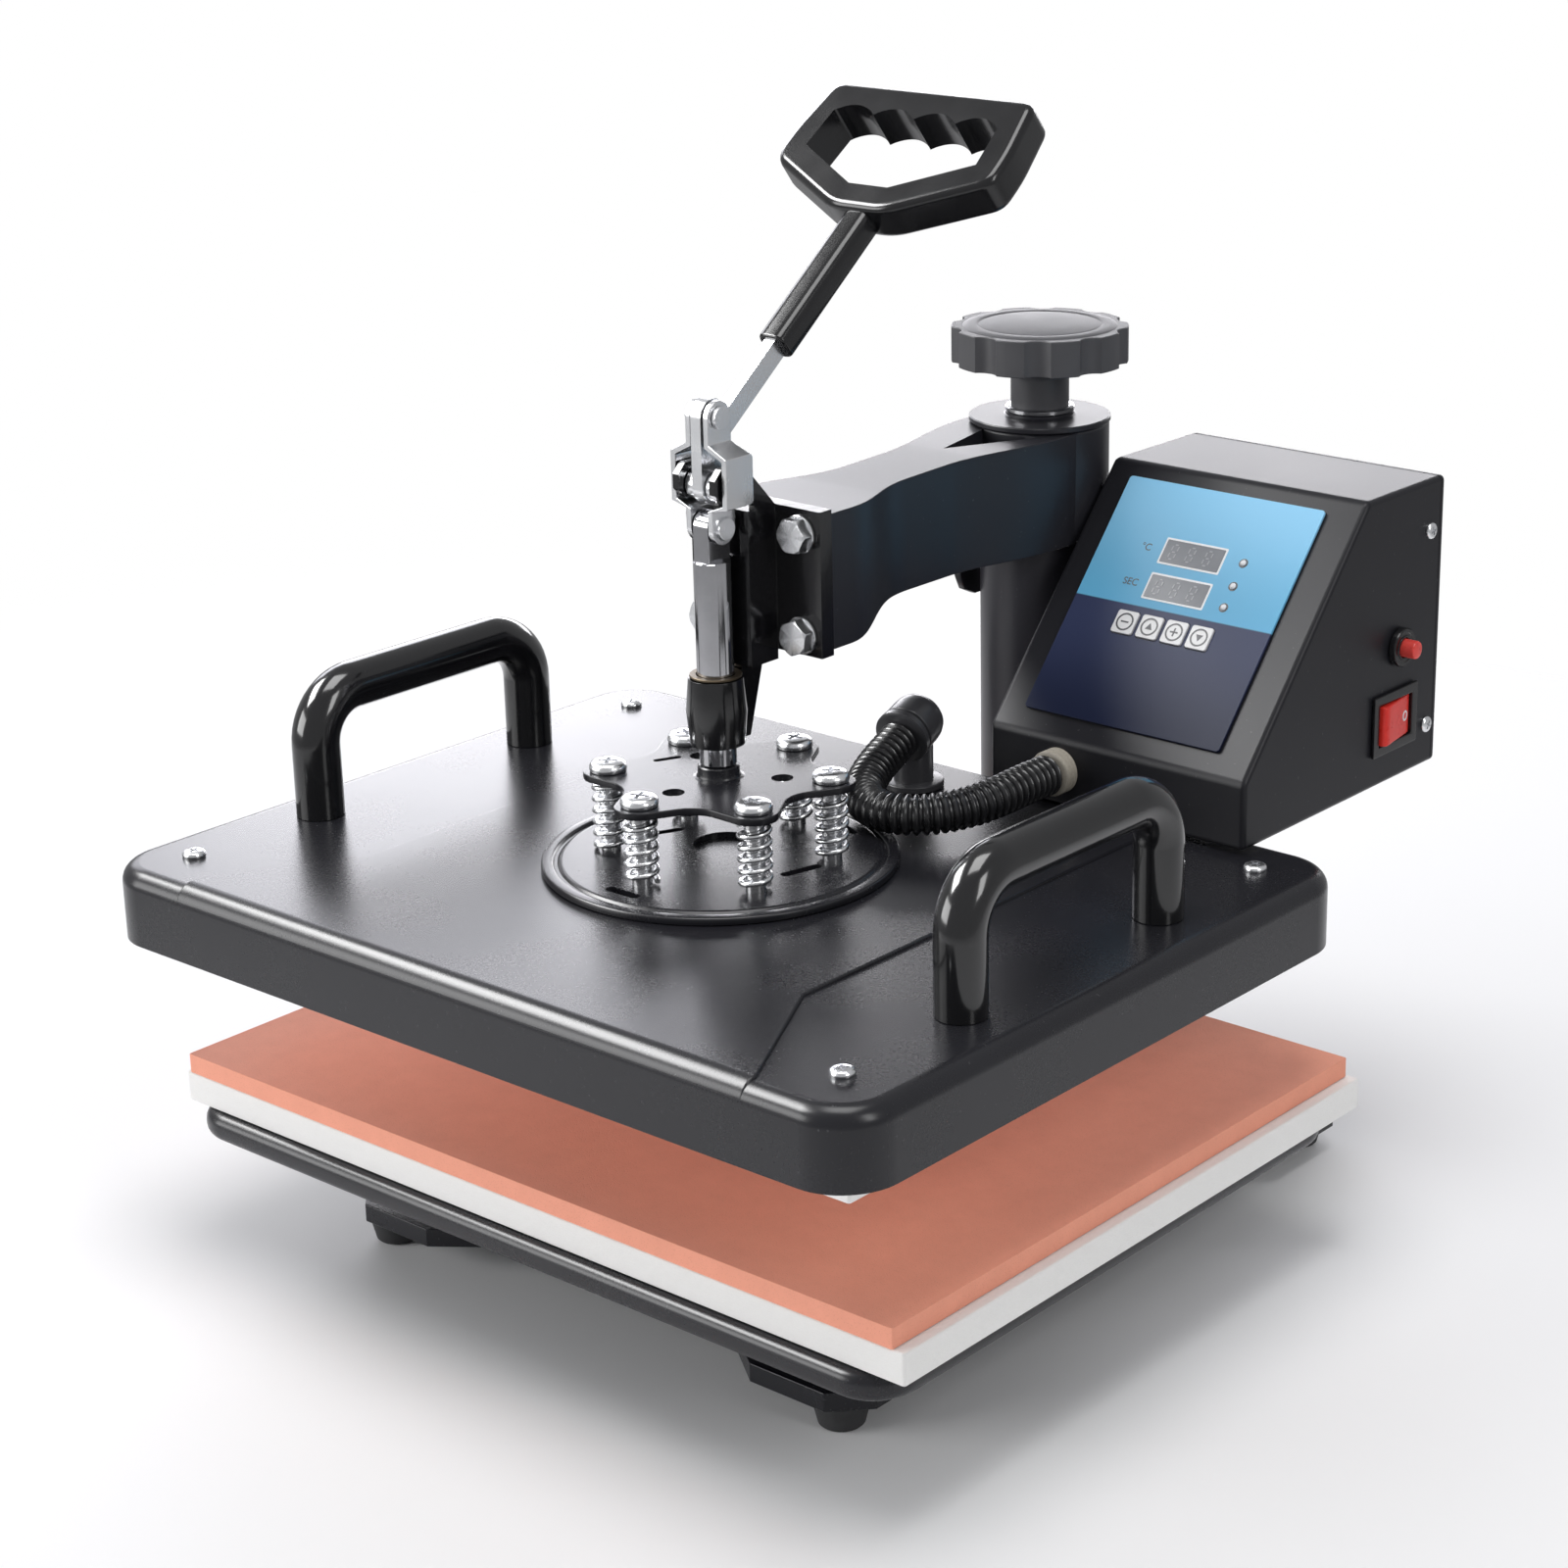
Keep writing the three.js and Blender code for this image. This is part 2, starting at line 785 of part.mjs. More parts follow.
function sideHandle(name, side) {
  const low = embossTop - emboss.raise + gap;
  const front = handle.frontY;
  const rear = handle.rearY;
  const bend = handle.bend;
  const points = [new THREE.Vector3(0, front, low)];
  for (let i = 0; i <= handle.bendSteps; i++) {
    const angle = (i / handle.bendSteps) * (Math.PI / 2);
    points.push(
      new THREE.Vector3(0, front + bend - bend * Math.cos(angle), handle.top - bend + bend * Math.sin(angle)),
    );
  }
  for (let i = 0; i <= handle.bendSteps; i++) {
    const angle = (i / handle.bendSteps) * (Math.PI / 2);
    points.push(
      new THREE.Vector3(0, rear - bend + bend * Math.sin(angle), handle.top - bend + bend * Math.cos(angle)),
    );
  }
  points.push(new THREE.Vector3(0, rear, low));
  const made = sweep(points, handle.tube, handle.sides);
  const x = cover.width / 2 - handle.inset;
  add(name, solidOf(made).translate([side * x, 0, 0]), glossBlack);
}

// A round tube of one radius through points that lie in a plane of constant x
function sweep(points, radius, sides) {
  const rings = points.map((point, i) => {
    const before = points[Math.max(i - 1, 0)];
    const after = points[Math.min(i + 1, points.length - 1)];
    const along = after.clone().sub(before).normalize();
    const across = new THREE.Vector3(1, 0, 0);
    const up = new THREE.Vector3().crossVectors(along, across).normalize();
    return ringOf(point, across, up, radius, sides);
  });
  return tubeOf(rings);
}

function ringOf(centre, across, up, radius, sides) {
  return Array.from({ length: sides }, (_, k) => {
    const angle = (k / sides) * 2 * Math.PI;
    return centre
      .clone()
      .addScaledVector(across, radius * Math.cos(angle))
      .addScaledVector(up, radius * Math.sin(angle));
  });
}

// A closed surface through rings of equal counts: capped at both ends, or joined round when looped
function tubeOf(rings, looped = false) {
  const sides = rings[0].length;
  const positions = rings.flat().flatMap((point) => point.toArray());
  const index = [];
  const last = looped ? rings.length : rings.length - 1;
  for (let i = 0; i < last; i++) {
    const next = (i + 1) % rings.length;
    for (let k = 0; k < sides; k++) {
      const a = i * sides + k;
      const b = i * sides + ((k + 1) % sides);
      const c = next * sides + k;
      const d = next * sides + ((k + 1) % sides);
      index.push(a, b, c, b, d, c);
    }
  }
  if (!looped) {
    const start = (rings.length - 1) * sides;
    for (let k = 1; k < sides - 1; k++) {
      index.push(0, k + 1, k);
      index.push(start, start + k, start + k + 1);
    }
  }
  const geometry = new THREE.BufferGeometry();
  geometry.setAttribute("position", new THREE.BufferAttribute(new Float32Array(positions), 3));
  geometry.setIndex(index);
  return geometry;
}

// Springs: one unbroken round wire each, wound about its screw

function springWire() {
  const steps = Math.round(spring.turns * spring.steps);
  const rise = spring.height - 2 * spring.wire;
  const centres = [];
  const rings = [];
  for (let i = 0; i <= steps; i++) {
    const turn = (i / steps) * spring.turns * 2 * Math.PI;
    const out = new THREE.Vector3(Math.cos(turn), Math.sin(turn), 0);
    const up = new THREE.Vector3(0, 0, 1);
    const centre = out.clone().multiplyScalar(spring.coil);
    centre.z = spring.wire + (i / steps) * rise;
    centres.push(centre);
    rings.push(ringOf(centre, out, up, spring.wire, spring.sides));
  }
  return { geometry: tubeOf(rings), centres };
}

// The least clear distance between turns of the wire, on its points
function leastGap(centres) {
  let least = Infinity;
  for (let i = 0; i < centres.length; i++) {
    for (let j = i + Math.ceil(spring.steps / 2); j < centres.length; j++) {
      least = Math.min(least, centres[i].distanceTo(centres[j]) - 2 * spring.wire);
    }
  }
  return least;
}

function springs() {
  const wire = springWire();
  console.log("least gap between spring turns: " + leastGap(wire.centres).toFixed(2) + " mm");
  springPlaces.forEach(([x, y], index) => {
    const made = solidOf(wire.geometry).translate([x, y, springBottom]);
    add("spring_" + (index + 1), made, zinc);
  });
}

function springScrews() {
  const seat = springPlateTop + gap;
  const top = seat + springScrew.headHeight;
  springPlaces.forEach(([x, y], index) => {
    const profile = [
      [0, discBottom + gap],
      [springScrew.shank, discBottom + gap],
      [springScrew.shank, seat],
      [springScrew.head, seat],
      [springScrew.head, top - springScrew.dome],
      [springScrew.head - springScrew.dome, top],
      [0, top],
    ];
    add("spring_screw_" + (index + 1), solidOf(turned(profile, smallSteps)).translate([x, y, 0]), zinc);
  });
}

// Spring plate: six lobes round the screws, with hollows between them

function springPlateShape() {
  const shape = new THREE.Shape();
  const count = spring.count;
  const arcSteps = cornerSteps + 1;
  const points = [];
  for (let i = 0; i < count; i++) {
    const [x, y] = springPlaces[i];
    const out = Math.atan2(y, x);
    for (let k = 0; k <= arcSteps; k++) {
      const angle = out - Math.PI / 2 + (k / arcSteps) * Math.PI;
      points.push([x + springPlate.lobe * Math.cos(angle), y + springPlate.lobe * Math.sin(angle)]);
    }
    const between = out + Math.PI / count;
    points.push([springPlate.waist * Math.cos(between), springPlate.waist * Math.sin(between)]);
  }
  shape.moveTo(...points[0]);
  for (const [x, y] of points.slice(1)) shape.lineTo(x, y);
  shape.closePath();
  return shape;
}

function plunger() {
  const plate = solidOf(extrude(springPlateShape(), springPlate.thick)).translate([0, 0, springPlateBottom]);
  const boss = rodZ(springPlate.bossRadius, springPlateBottom, bossTop);
  const low = springPlateBottom - overrun;
  const high = springPlateTop + overrun;
  const screwHoles = springPlaces.map(([x, y]) => rodZ(springScrew.shank + slip, low, high, x, y, smallSteps));
  const lightening = springPlaces
    .filter((_, index) => index % 2 === 1)
    .map(([x, y]) => {
      const share = springPlate.holeCircle / spring.circle;
      return rodZ(springPlate.holeRadius, low, high, x * share, y * share, smallSteps);
    });
  add("spring_plate", cut(join(plate, boss), ...screwHoles, ...lightening), glossBlack);
  const step = linkLowZ - rod.stepBelowPin;
  const round = rodZ(rod.radius, rodBottom, step);
  const tongueOutline = roundedSlotYZ(0, step - rod.radius, 0, linkLowZ, rod.tongueWide);
  const tongue = solidOf(extrudeX(tongueOutline, -rod.tongueHalf, rod.tongueHalf));
  const above = block(-rod.radius, rod.radius, -rod.radius, rod.radius, step - weld, linkTopZ);
  add("plunger_rod", join(round, tongue.intersect(above)), chrome);
}

// A bar outline with round ends between two points (y, z), of a given half width
function roundedSlotYZ(y0, z0, y1, z1, half) {
  const along = Math.atan2(z1 - z0, y1 - y0);
  const shape = new THREE.Shape();
  shape.absarc(y0, z0, half, along + Math.PI / 2, along + 1.5 * Math.PI, false);
  shape.absarc(y1, z1, half, along - Math.PI / 2, along + Math.PI / 2, false);
  shape.closePath();
  return shape;
}

// Toggle head: bracket with ears, guide barrel and web, its bush and the fixed pivot

function headBracket() {
  const rear = arm.frontY - gap;
  const front = rear - bracket.plateThick;
  const plate = block(-bracket.plateHalf, bracket.plateHalf, front, rear, bracket.plateBottom, bracket.plateTop);
  const spine = block(
    -bracket.blockHalf,
    bracket.blockHalf,
    bracket.blockFrontY,
    front + weld,
    bracket.blockBottom,
    bracket.plateTop,
  );
  const earOuter = bracket.earInner + bracket.earThick;
  const earTop = toggle.pivotZ + bracket.earAbove;
  const earLow = toggle.pivotZ - bracket.earBelow;
  const chamfer = bracket.earChamfer;
  const earShape = shapeOf([
    [bracket.earFrontY + chamfer, earLow],
    [bracket.blockFrontY + chamfer, earLow],
    [bracket.blockFrontY + chamfer, bracket.plateBottom],
    [front + weld, bracket.plateBottom],
    [front + weld, bracket.plateTop],
    [bracket.earCrestY, earTop],
    [bracket.earFrontY + chamfer, earTop],
    [bracket.earFrontY, earTop - chamfer],
    [bracket.earFrontY, earLow + chamfer],
  ]);
  const ears = [-earOuter, bracket.earInner].map((x) => solidOf(extrudeX(earShape, x, x + bracket.earThick)));
  const webShape = shapeOf([
    [barrel.bore, barrel.bottom],
    [bracket.webFootY, barrel.bottom],
    [front + weld, bracket.plateBottom],
    [front + weld, bracket.plateTop - bracket.plateHalf],
    [bracket.blockFrontY + weld, bracket.plateTop - bracket.plateHalf],
    [bracket.blockFrontY + weld, bracket.blockBottom + weld],
    [bush.flange + slip, bracket.blockBottom + weld],
    [bush.flange + slip, barrel.top],
    [barrel.bore, barrel.top],
  ]);
  const web = solidOf(extrudeX(webShape, -bracket.webHalf, bracket.webHalf));
  const middle = (barrel.bottom + barrel.top) / 2;
  const tubeProfile = [
    [0, barrel.bottom],
    [barrel.radius, barrel.bottom],
    [barrel.bulge, middle],
    [barrel.radius, barrel.top],
    [0, barrel.top],
  ];
  const tube = solidOf(turned(tubeProfile));
  const bore = rodZ(barrel.bore, barrel.bottom - overrun, barrel.top + overrun);
  const pinHole = rodX(pivot.radius + gap, -earOuter - overrun, earOuter + overrun, 0, toggle.pivotZ);
  add("head_bracket", cut(join(plate, spine, ...ears, web, tube), bore, pinHole), glossBlack);
}

function guideBush() {
  const outer = barrel.bore - gap;
  const flangeTop = barrel.top + gap + bush.flangeThick;
  const profile = [
    [bush.bore, barrel.bottom],
    [outer, barrel.bottom],
    [outer, barrel.top + gap],
    [bush.flange, barrel.top + gap],
    [bush.flange, flangeTop],
    [bush.bore, flangeTop],
    [bush.bore, barrel.bottom],
  ];
  add("guide_bush", solidOf(turned(profile)), brass);
}

function pivotPin() {
  const end = strap.outer - slip;
  const spacerFrom = lever.half + slip;
  const spacerTo = bracket.earInner - gap;
  const y = 0;
  const z = toggle.pivotZ;
  const pin = rodX(pivot.radius, -end, end, y, z);
  const spacers = [-spacerTo, spacerFrom].map((x) =>
    rodX(pivot.spacerRadius, x, x + spacerTo - spacerFrom, y, z),
  );
  add("pivot_pin", join(pin, ...spacers), zinc);
}

// Toggle links: two straps bowed outwards round the ears, with rivet heads, and their upper pin

function strapBand() {
  const t = strap.thick;
  const upperBendTop = linkTopZ - strap.upperTab;
  const upperBendLow = upperBendTop - strap.upperBend;
  const lowBendTop = toggle.pivotZ - strap.lowerBendTop;
  const lowBendLow = lowBendTop - strap.lowerBend;
  const top = linkTopZ + strap.tab;
  const low = linkLowZ - strap.tab;
  return shapeOf([
    [strap.inner, top],
    [strap.inner, upperBendTop],
    [strap.outer, upperBendLow],
    [strap.outer, lowBendTop],
    [strap.lowerInner, lowBendLow],
    [strap.lowerInner, low],
    [strap.lowerInner + t, low],
    [strap.lowerInner + t, lowBendLow],
    [strap.outer + t, lowBendTop - t / 2],
    [strap.outer + t, upperBendLow + t / 2],
    [strap.inner + t, upperBendTop + t / 2],
    [strap.inner + t, top],
  ]);
}

function strapFace() {
  const shape = new THREE.Shape();
  const bulgeTop = linkTopZ - strap.upperTab - strap.upperBend;
  const bulgeLow = toggle.pivotZ - strap.lowerBendTop;
  const front = strap.bulgeY - strap.bulgeHalf;
  const rear = strap.bulgeY + strap.bulgeHalf;
  shape.absarc(0, linkTopZ, strap.tabHalf, 0, Math.PI, false);
  shape.lineTo(-strap.tabHalf, linkTopZ - strap.upperTab);
  shape.lineTo(front, bulgeTop);
  shape.lineTo(front, bulgeLow);
  shape.lineTo(-strap.tabHalf, bulgeLow - strap.lowerBend);
  shape.absarc(0, linkLowZ, strap.tabHalf, Math.PI, 2 * Math.PI, false);
  shape.lineTo(strap.tabHalf, bulgeLow - strap.lowerBend);
  shape.lineTo(rear, bulgeLow);
  shape.lineTo(rear, bulgeTop);
  shape.lineTo(strap.tabHalf, linkTopZ - strap.upperTab);
  return shape;
}

function links() {
  const deep = 2 * strap.bulgeHalf;
  const band = solidOf(extrudeY(strapBand(), -deep, deep));
  const face = solidOf(extrudeX(strapFace(), 0, 2 * strap.outer, 0, cornerSteps * 2));
  const blank = band.intersect(face);
  const rivetFrom = strap.lowerInner + strap.thick - weld;
  const rivet = rodX(strap.rivetHead, rivetFrom, rivetFrom + strap.rivetHeight, 0, linkLowZ);
  const hole = rodX(pivot.radius + gap, 0, 2 * strap.outer, 0, linkTopZ);
  const right = cut(join(blank, rivet), hole);
  add("link_right", right, zinc);
  add("link_left", right.mirror([1, 0, 0]), zinc);
  const headFrom = strap.inner + strap.thick + gap;
  const headTo = headFrom + strap.rivetHeight;
  const pin = rodX(pivot.radius, -headTo, headTo, 0, linkTopZ);
  const heads = [-headTo, headFrom].map((x) => rodX(strap.rivetHead, x, x + strap.rivetHeight, 0, linkTopZ));
  add("link_pin", join(pin, ...heads), zinc);
}

// Lever and hand grip, drawn in the lever's own plane: q runs up the lever from the fixed pivot

const lean = ((90 - lever.leanDeg) * Math.PI) / 180;
const leverAlong = [Math.cos(lean), Math.sin(lean)];
const leverAcross = [-Math.sin(lean), Math.cos(lean)];

function leverPoint(q, offset = lever.axisOffset) {
  return [
    leverAlong[0] * q + leverAcross[0] * offset,
    toggle.pivotZ + leverAlong[1] * q + leverAcross[1] * offset,
  ];
}

function leverBar() {
  const lower = roundedSlotYZ(0, toggle.pivotZ, 0, linkTopZ, lever.footWide);
  const upper = roundedSlotYZ(...leverPoint(lever.start), ...leverPoint(leverEnd), lever.wide);
  const parts = [lower, upper].map((shape) => solidOf(extrudeX(shape, -lever.half, lever.half, 0, cornerSteps * 2)));
  const holes = [toggle.pivotZ, linkTopZ].map((z) =>
    rodX(pivot.radius + gap, -lever.half - overrun, lever.half + overrun, 0, z),
  );
  add("lever_bar", cut(join(...parts), ...holes), zinc);
}

// Turns a solid drawn flat, with x across and y up the lever, into its place on the lever
function ontoLever(solid) {
  const [y, z] = leverPoint(0);
  const turnDeg = (lean * 180) / Math.PI;
  return solid.rotate([turnDeg, 0, 0]).translate([0, y, z]);
}

function gripOutline() {
  const g = grip;
  const shape = new THREE.Shape();
  shape.moveTo(-g.neckHalf, neckQ);
  shape.lineTo(g.neckHalf, neckQ);
  shape.lineTo(g.sideHalf, shoulderQ);
  shape.lineTo(g.sideHalf, sideQ);
  shape.lineTo(g.topHalf, g.topQ - g.corner);
  shape.lineTo(g.topHalf - g.corner, g.topQ);
  shape.lineTo(-g.topHalf + g.corner, g.topQ);
  shape.lineTo(-g.topHalf, g.topQ - g.corner);
  shape.lineTo(-g.sideHalf, sideQ);
  shape.lineTo(-g.sideHalf, shoulderQ);
  shape.closePath();
  return shape;
}

function gripOpening() {
  const g = grip;
  const shape = new THREE.Shape();
  const steps = g.fingers * 6;
  shape.moveTo(-g.openLowHalf, openLowQ);
  shape.lineTo(g.openLowHalf, openLowQ);
  shape.lineTo(g.openSideHalf, openSideQ);
  for (let i = 0; i <= steps; i++) {
    const along = i / steps;
    const wave = Math.abs(Math.sin(along * g.fingers * Math.PI));
    shape.lineTo(g.openHalf - 2 * g.openHalf * along, openTopQ - g.fingerDeep + g.fingerDeep * wave);
  }
  shape.lineTo(-g.openSideHalf, openSideQ);
  shape.closePath();
  return shape;
}

function handGrip() {
  const g = grip;
  const ring = solidOf(extrude(gripOutline(), g.deep, g.bevel)).translate([0, 0, -g.deep / 2]);
  const opening = solidOf(extrude(gripOpening(), g.deep + 2 * overrun)).translate([0, 0, -g.deep / 2 - overrun]);
  const stemShape = shapeOf([
    [-g.stemHalfX, g.stemStart],
    [g.stemHalfX, g.stemStart],
    [g.stemHalfX, neckQ + g.corner],
    [-g.stemHalfX, neckQ + g.corner],
  ]);
  const stem = solidOf(extrude(stemShape, 2 * g.stemHalfDeep, g.stemBevel)).translate([0, 0, -g.stemHalfDeep]);
  const socketHalfX = lever.half + gap;
  const socketHalfZ = lever.wide + gap;
  const shell = Math.max(socketHalfZ + g.stemBevel, g.stemHalfDeep);
  const cheek = block(
    -g.stemHalfX,
    g.stemHalfX,
    g.stemStart,
    leverEnd + lever.wide + g.corner,
    -shell,
    shell,
  );
  const socket = block(
    -socketHalfX,
    socketHalfX,
    g.stemStart - overrun,
    leverEnd + lever.wide + gap,
    -socketHalfZ,
    socketHalfZ,
  );
  add("hand_grip", ontoLever(cut(join(cut(ring, opening), stem, cheek), socket)), plasticBlack);
}

// Arm: a gooseneck channel open underneath, with the hub that turns on the post

function armProfile() {
  const a = arm;
  const shape = new THREE.Shape();
  shape.moveTo(a.frontY, a.frontBottom);
  shape.lineTo(a.noseRearY, a.frontBottom);
  shape.bezierCurveTo(a.stepY, a.frontBottom, a.stepY, a.bottom, a.underY, a.bottom);
  shape.lineTo(post.y, a.bottom);
  shape.lineTo(post.y, a.hubTop);
  shape.lineTo(post.y - a.hubRadius, a.top + a.rise / 3);
  shape.bezierCurveTo(a.riseY, a.top, a.riseY, a.top - a.rise / 2, a.riseStartY, a.top - a.rise / 2);
  shape.lineTo(a.frontY, a.top - a.rise / 2);
  return shape;
}

// The arm from above: wide at the nose, waisted, and flared again where it meets the hub
function armPlan(thinner, most) {
  const a = arm;
  const rows = [
    [a.half, a.frontY - overrun],
    [a.half, a.noseRearY],
    [a.waistHalf, a.waistFrontY],
    [a.waistHalf, a.waistRearY],
    [a.flareHalf, a.flareY],
    [a.flareHalf, post.y + overrun],
  ];
  const right = rows.map(([x, y]) => [Math.min(x - thinner, most), y]);
  const left = right.map(([x, y]) => [-x, y]).reverse();
  return solidOf(extrude(shapeOf([...right, ...left]), a.hubTop));
}

// The three-cornered hollow in the top of the arm, which widens towards the hub
function armRecess() {
  const a = arm;
  const outline = shapeOf([
    [a.recessTipX, a.recessTipY],
    [a.recessRightX, a.recessRearY],
    [a.recessLeftX, a.recessRearY],
  ]);
  return solidOf(extrude(outline, a.recessDeep + overrun)).translate([0, 0, a.top - a.recessDeep]);
}

function armPocket() {
  const a = arm;
  const w = a.wall;
  const low = a.frontBottom - overrun;
  const high = a.top - a.rise / 2 - w;
  return shapeOf([
    [a.frontY + w, low],
    [a.pocketRearY, low],
    [a.pocketRearY, high],
    [a.frontY + w, high],
  ]);
}

function armShell() {
  const a = arm;
  const beam = solidOf(extrudeX(armProfile(), -a.half, a.half)).intersect(armPlan(0, a.half));
  const frontPocket = solidOf(extrudeX(armPocket(), -a.half, a.half)).intersect(armPlan(a.wall, a.half));
  const narrow = block(-a.half, a.half, a.waistRearY, a.flareY, a.frontBottom - overrun, a.hubTop);
  const rearPocket = frontPocket.intersect(narrow).intersect(armPlan(a.wall, a.coreHalf));
  const pocket = join(frontPocket.subtract(narrow), rearPocket);
  const hub = rodZ(a.hubRadius, a.bottom, a.hubTop, 0, post.y, roundSteps * 2);
  const bore = rodZ(post.radius + slip, a.frontBottom - overrun, a.hubTop - a.hubRoof, 0, post.y, roundSteps);
  const screwHole = rodZ(screw.radius + screw.clearance, a.frontBottom, a.hubTop + overrun, 0, post.y, smallSteps);
  const lugShape = shapeOf([
    [a.lugFrontY, a.bottom + a.wall],
    [a.lugFrontY, a.bottom - a.lugStraight],
    [a.lugSlopeY, a.bottom - a.lugDrop + a.lugSlope],
    [a.lugFlatY, a.bottom - a.lugDrop],
    [a.lugRearY, a.bottom - a.lugDrop],
    [a.lugRearY, a.bottom + a.wall],
  ]);
  const lug = solidOf(extrudeX(lugShape, -a.lugX - a.lugThick / 2, -a.lugX + a.lugThick / 2));
  add("swing_arm", cut(join(cut(beam, pocket, armRecess()), hub, lug), bore, screwHole), satinBlack);
}

function hubCapPlate() {
  const bottom = arm.hubTop + gap;
  const top = bottom + hubCap.thick;
  const hole = screw.radius + screw.clearance;
  const profile = [
    [hole, bottom],
    [hubCap.radius, bottom],
    [hubCap.radius, top],
    [hubCap.washer, top],
    [hubCap.washer, top + hubCap.washerThick],
    [hole, top + hubCap.washerThick],
    [hole, bottom],
  ];
  add("hub_cap", solidOf(turned(profile, roundSteps * 2)).translate([0, post.y, 0]), satinBlack);
}

// Height adjustment: a ring inside the hub, a screw in the post's plug and a lobed knob

function liftRing() {
  const bottom = post.top + gap;
  const top = arm.hubTop - arm.hubRoof - gap;
  const ring = rodZ(lift.ringRadius, bottom, top, 0, post.y);
  const bore = rodZ(screw.radius + screw.clearance, bottom - overrun, top + overrun, 0, post.y, smallSteps);
  add("lift_ring", cut(ring, bore), zinc);
}

function knobShape() {
  const shape = new THREE.Shape();
  const stepsPerLobe = 4;
  const steps = knob.lobes * stepsPerLobe;
  for (let i = 0; i < steps; i++) {
    const angle = (i / steps) * 2 * Math.PI;
    const wave = Math.abs(Math.cos((angle * knob.lobes) / 2));
    const radius = knob.radius - knob.lobeDeep * (1 - Math.sqrt(wave));
    const point = [radius * Math.cos(angle), radius * Math.sin(angle)];
    if (i === 0) shape.moveTo(...point);
    else shape.lineTo(...point);
  }
  shape.closePath();
  return shape;
}

function pressureKnob() {
  const body = solidOf(extrude(knobShape(), knob.top - knob.bottom, knob.bevel)).translate([0, post.y, knob.bottom]);
  const neckBottom = arm.hubTop + gap + hubCap.thick + hubCap.washerThick + gap;
  const neck = rodZ(knob.neck, neckBottom, knob.bottom + knob.bevel, 0, post.y);
  const dish = rodZ(knob.dishRadius, knob.top - knob.dish, knob.top + overrun, 0, post.y, roundSteps * 2);
  const bore = rodZ(screw.radius + gap, neckBottom - overrun, knob.top - knob.bevel, 0, post.y, smallSteps);
  add("pressure_knob", cut(join(body, neck), dish, bore), plasticBlack);
  const shaft = rodZ(screw.radius, screw.bottom, knob.top - knob.bevel - gap, 0, post.y, smallSteps);
  add("pressure_screw", shaft, zinc);
}

// Control box: a wedge-shaped steel case with a sloping face

function boxProfile(inset = 0) {
  const b = box;
  const slope = Math.atan2(b.top - b.lipTop, b.slopeRearY - b.frontY);
  const lipDrop = inset * Math.tan((Math.PI / 2 - slope) / 2);
  const topShift = inset * Math.tan(slope / 2);
  return shapeOf([
    [b.frontY + inset, b.bottom + inset],
    [b.rearY + (inset > 0 ? overrun : 0), b.bottom + inset],
    [b.rearY + (inset > 0 ? overrun : 0), b.top - inset],
    [b.slopeRearY + topShift, b.top - inset],
    [b.frontY + inset, b.lipTop - lipDrop],
  ]);
}

const slopeRun = box.slopeRearY - box.frontY;
const slopeRise = box.top - box.lipTop;
const slopeLength = Math.hypot(slopeRun, slopeRise);
const slopeDeg = (Math.atan2(slopeRise, slopeRun) * 180) / Math.PI;

// Turns a solid drawn flat, with x across, y up the slope and z out of it, onto the sloping face
function ontoSlope(solid) {
  return solid.rotate([slopeDeg, 0, 0]).translate([0, box.frontY, box.lipTop]);
}

function slopeBlock(x0, x1, s0, s1, out0, out1) {
  return ontoSlope(block(x0, x1, s0, s1, out0, out1));
}

function keyPlaces() {
  return Array.from({ length: panel.keyCount }, (_, index) => panel.keyFirst + index * panel.keyPitch);
}

const keysRight = panel.keyFirst + (panel.keyCount - 1) * panel.keyPitch + panel.keySize / 2;
const boardLeft = panel.screenLeft - board.margin;
const boardRight = keysRight + board.margin;
const boardLow = panel.keyAt - panel.keySize / 2 - board.margin;
const boardHigh = panel.screenHigh + board.margin;
const moduleBottom = -board.below + gap;

function controlCase() {
  const b = box;
  const right = b.left + b.width;
  const outside = solidOf(extrudeX(boxProfile(), b.left, right, b.wall / 2));
  const inside = solidOf(extrudeX(boxProfile(b.wall), b.left + b.wall, right - b.wall));
  const margin = panel.windowMargin;
  const keyWindowLow = panel.keyAt - panel.keySize / 2 - margin;
  const windowHigh = panel.screenHigh + margin;
  const windowLeft = panel.keyFirst - panel.keySize / 2 - margin;
  const window = slopeBlock(windowLeft, keysRight + margin, keyWindowLow, windowHigh, -b.wall * 2, overrun);
  const bosses = [
    [boardLeft, boardLow],
    [boardRight, boardLow],
    [boardLeft, boardHigh],
    [boardRight, boardHigh],
  ].map(([x, s]) =>
    slopeBlock(x - board.boss, x + board.boss, s - board.boss, s + board.boss, -board.below + gap, -b.wall / 2),
  );
  const rockerHole = block(
    right - b.wall - overrun,
    right + overrun,
    rocker.y - rocker.width / 2 + rocker.bezel,
    rocker.y + rocker.width / 2 - rocker.bezel,
    rocker.z - rocker.height / 2 + rocker.bezel,
    rocker.z + rocker.height / 2 - rocker.bezel,
  );
  const breakerHole = rodX(breaker.body + gap, right - b.wall - overrun, right + overrun, breaker.y, breaker.z);
  const hoseHole = rodY(collar.neck + gap, b.frontY - overrun, b.frontY + b.wall + overrun, collar.x, collar.z);
  const shell = cut(outside, inside, window, rockerHole, breakerHole, hoseHole);
  add("control_case", join(shell, ...bosses), satinBlack);
}

function caseBack() {
  const b = box;
  const y0 = b.rearY + gap;
  const plate = block(b.left, b.left + b.width, y0, y0 + b.back, b.bottom, b.top);
  const hole = rodY(inlet.radius + gap, y0 - overrun, y0 + b.back + overrun, inlet.x, inlet.z);
  add("case_back", cut(plate, hole), satinBlack);
}

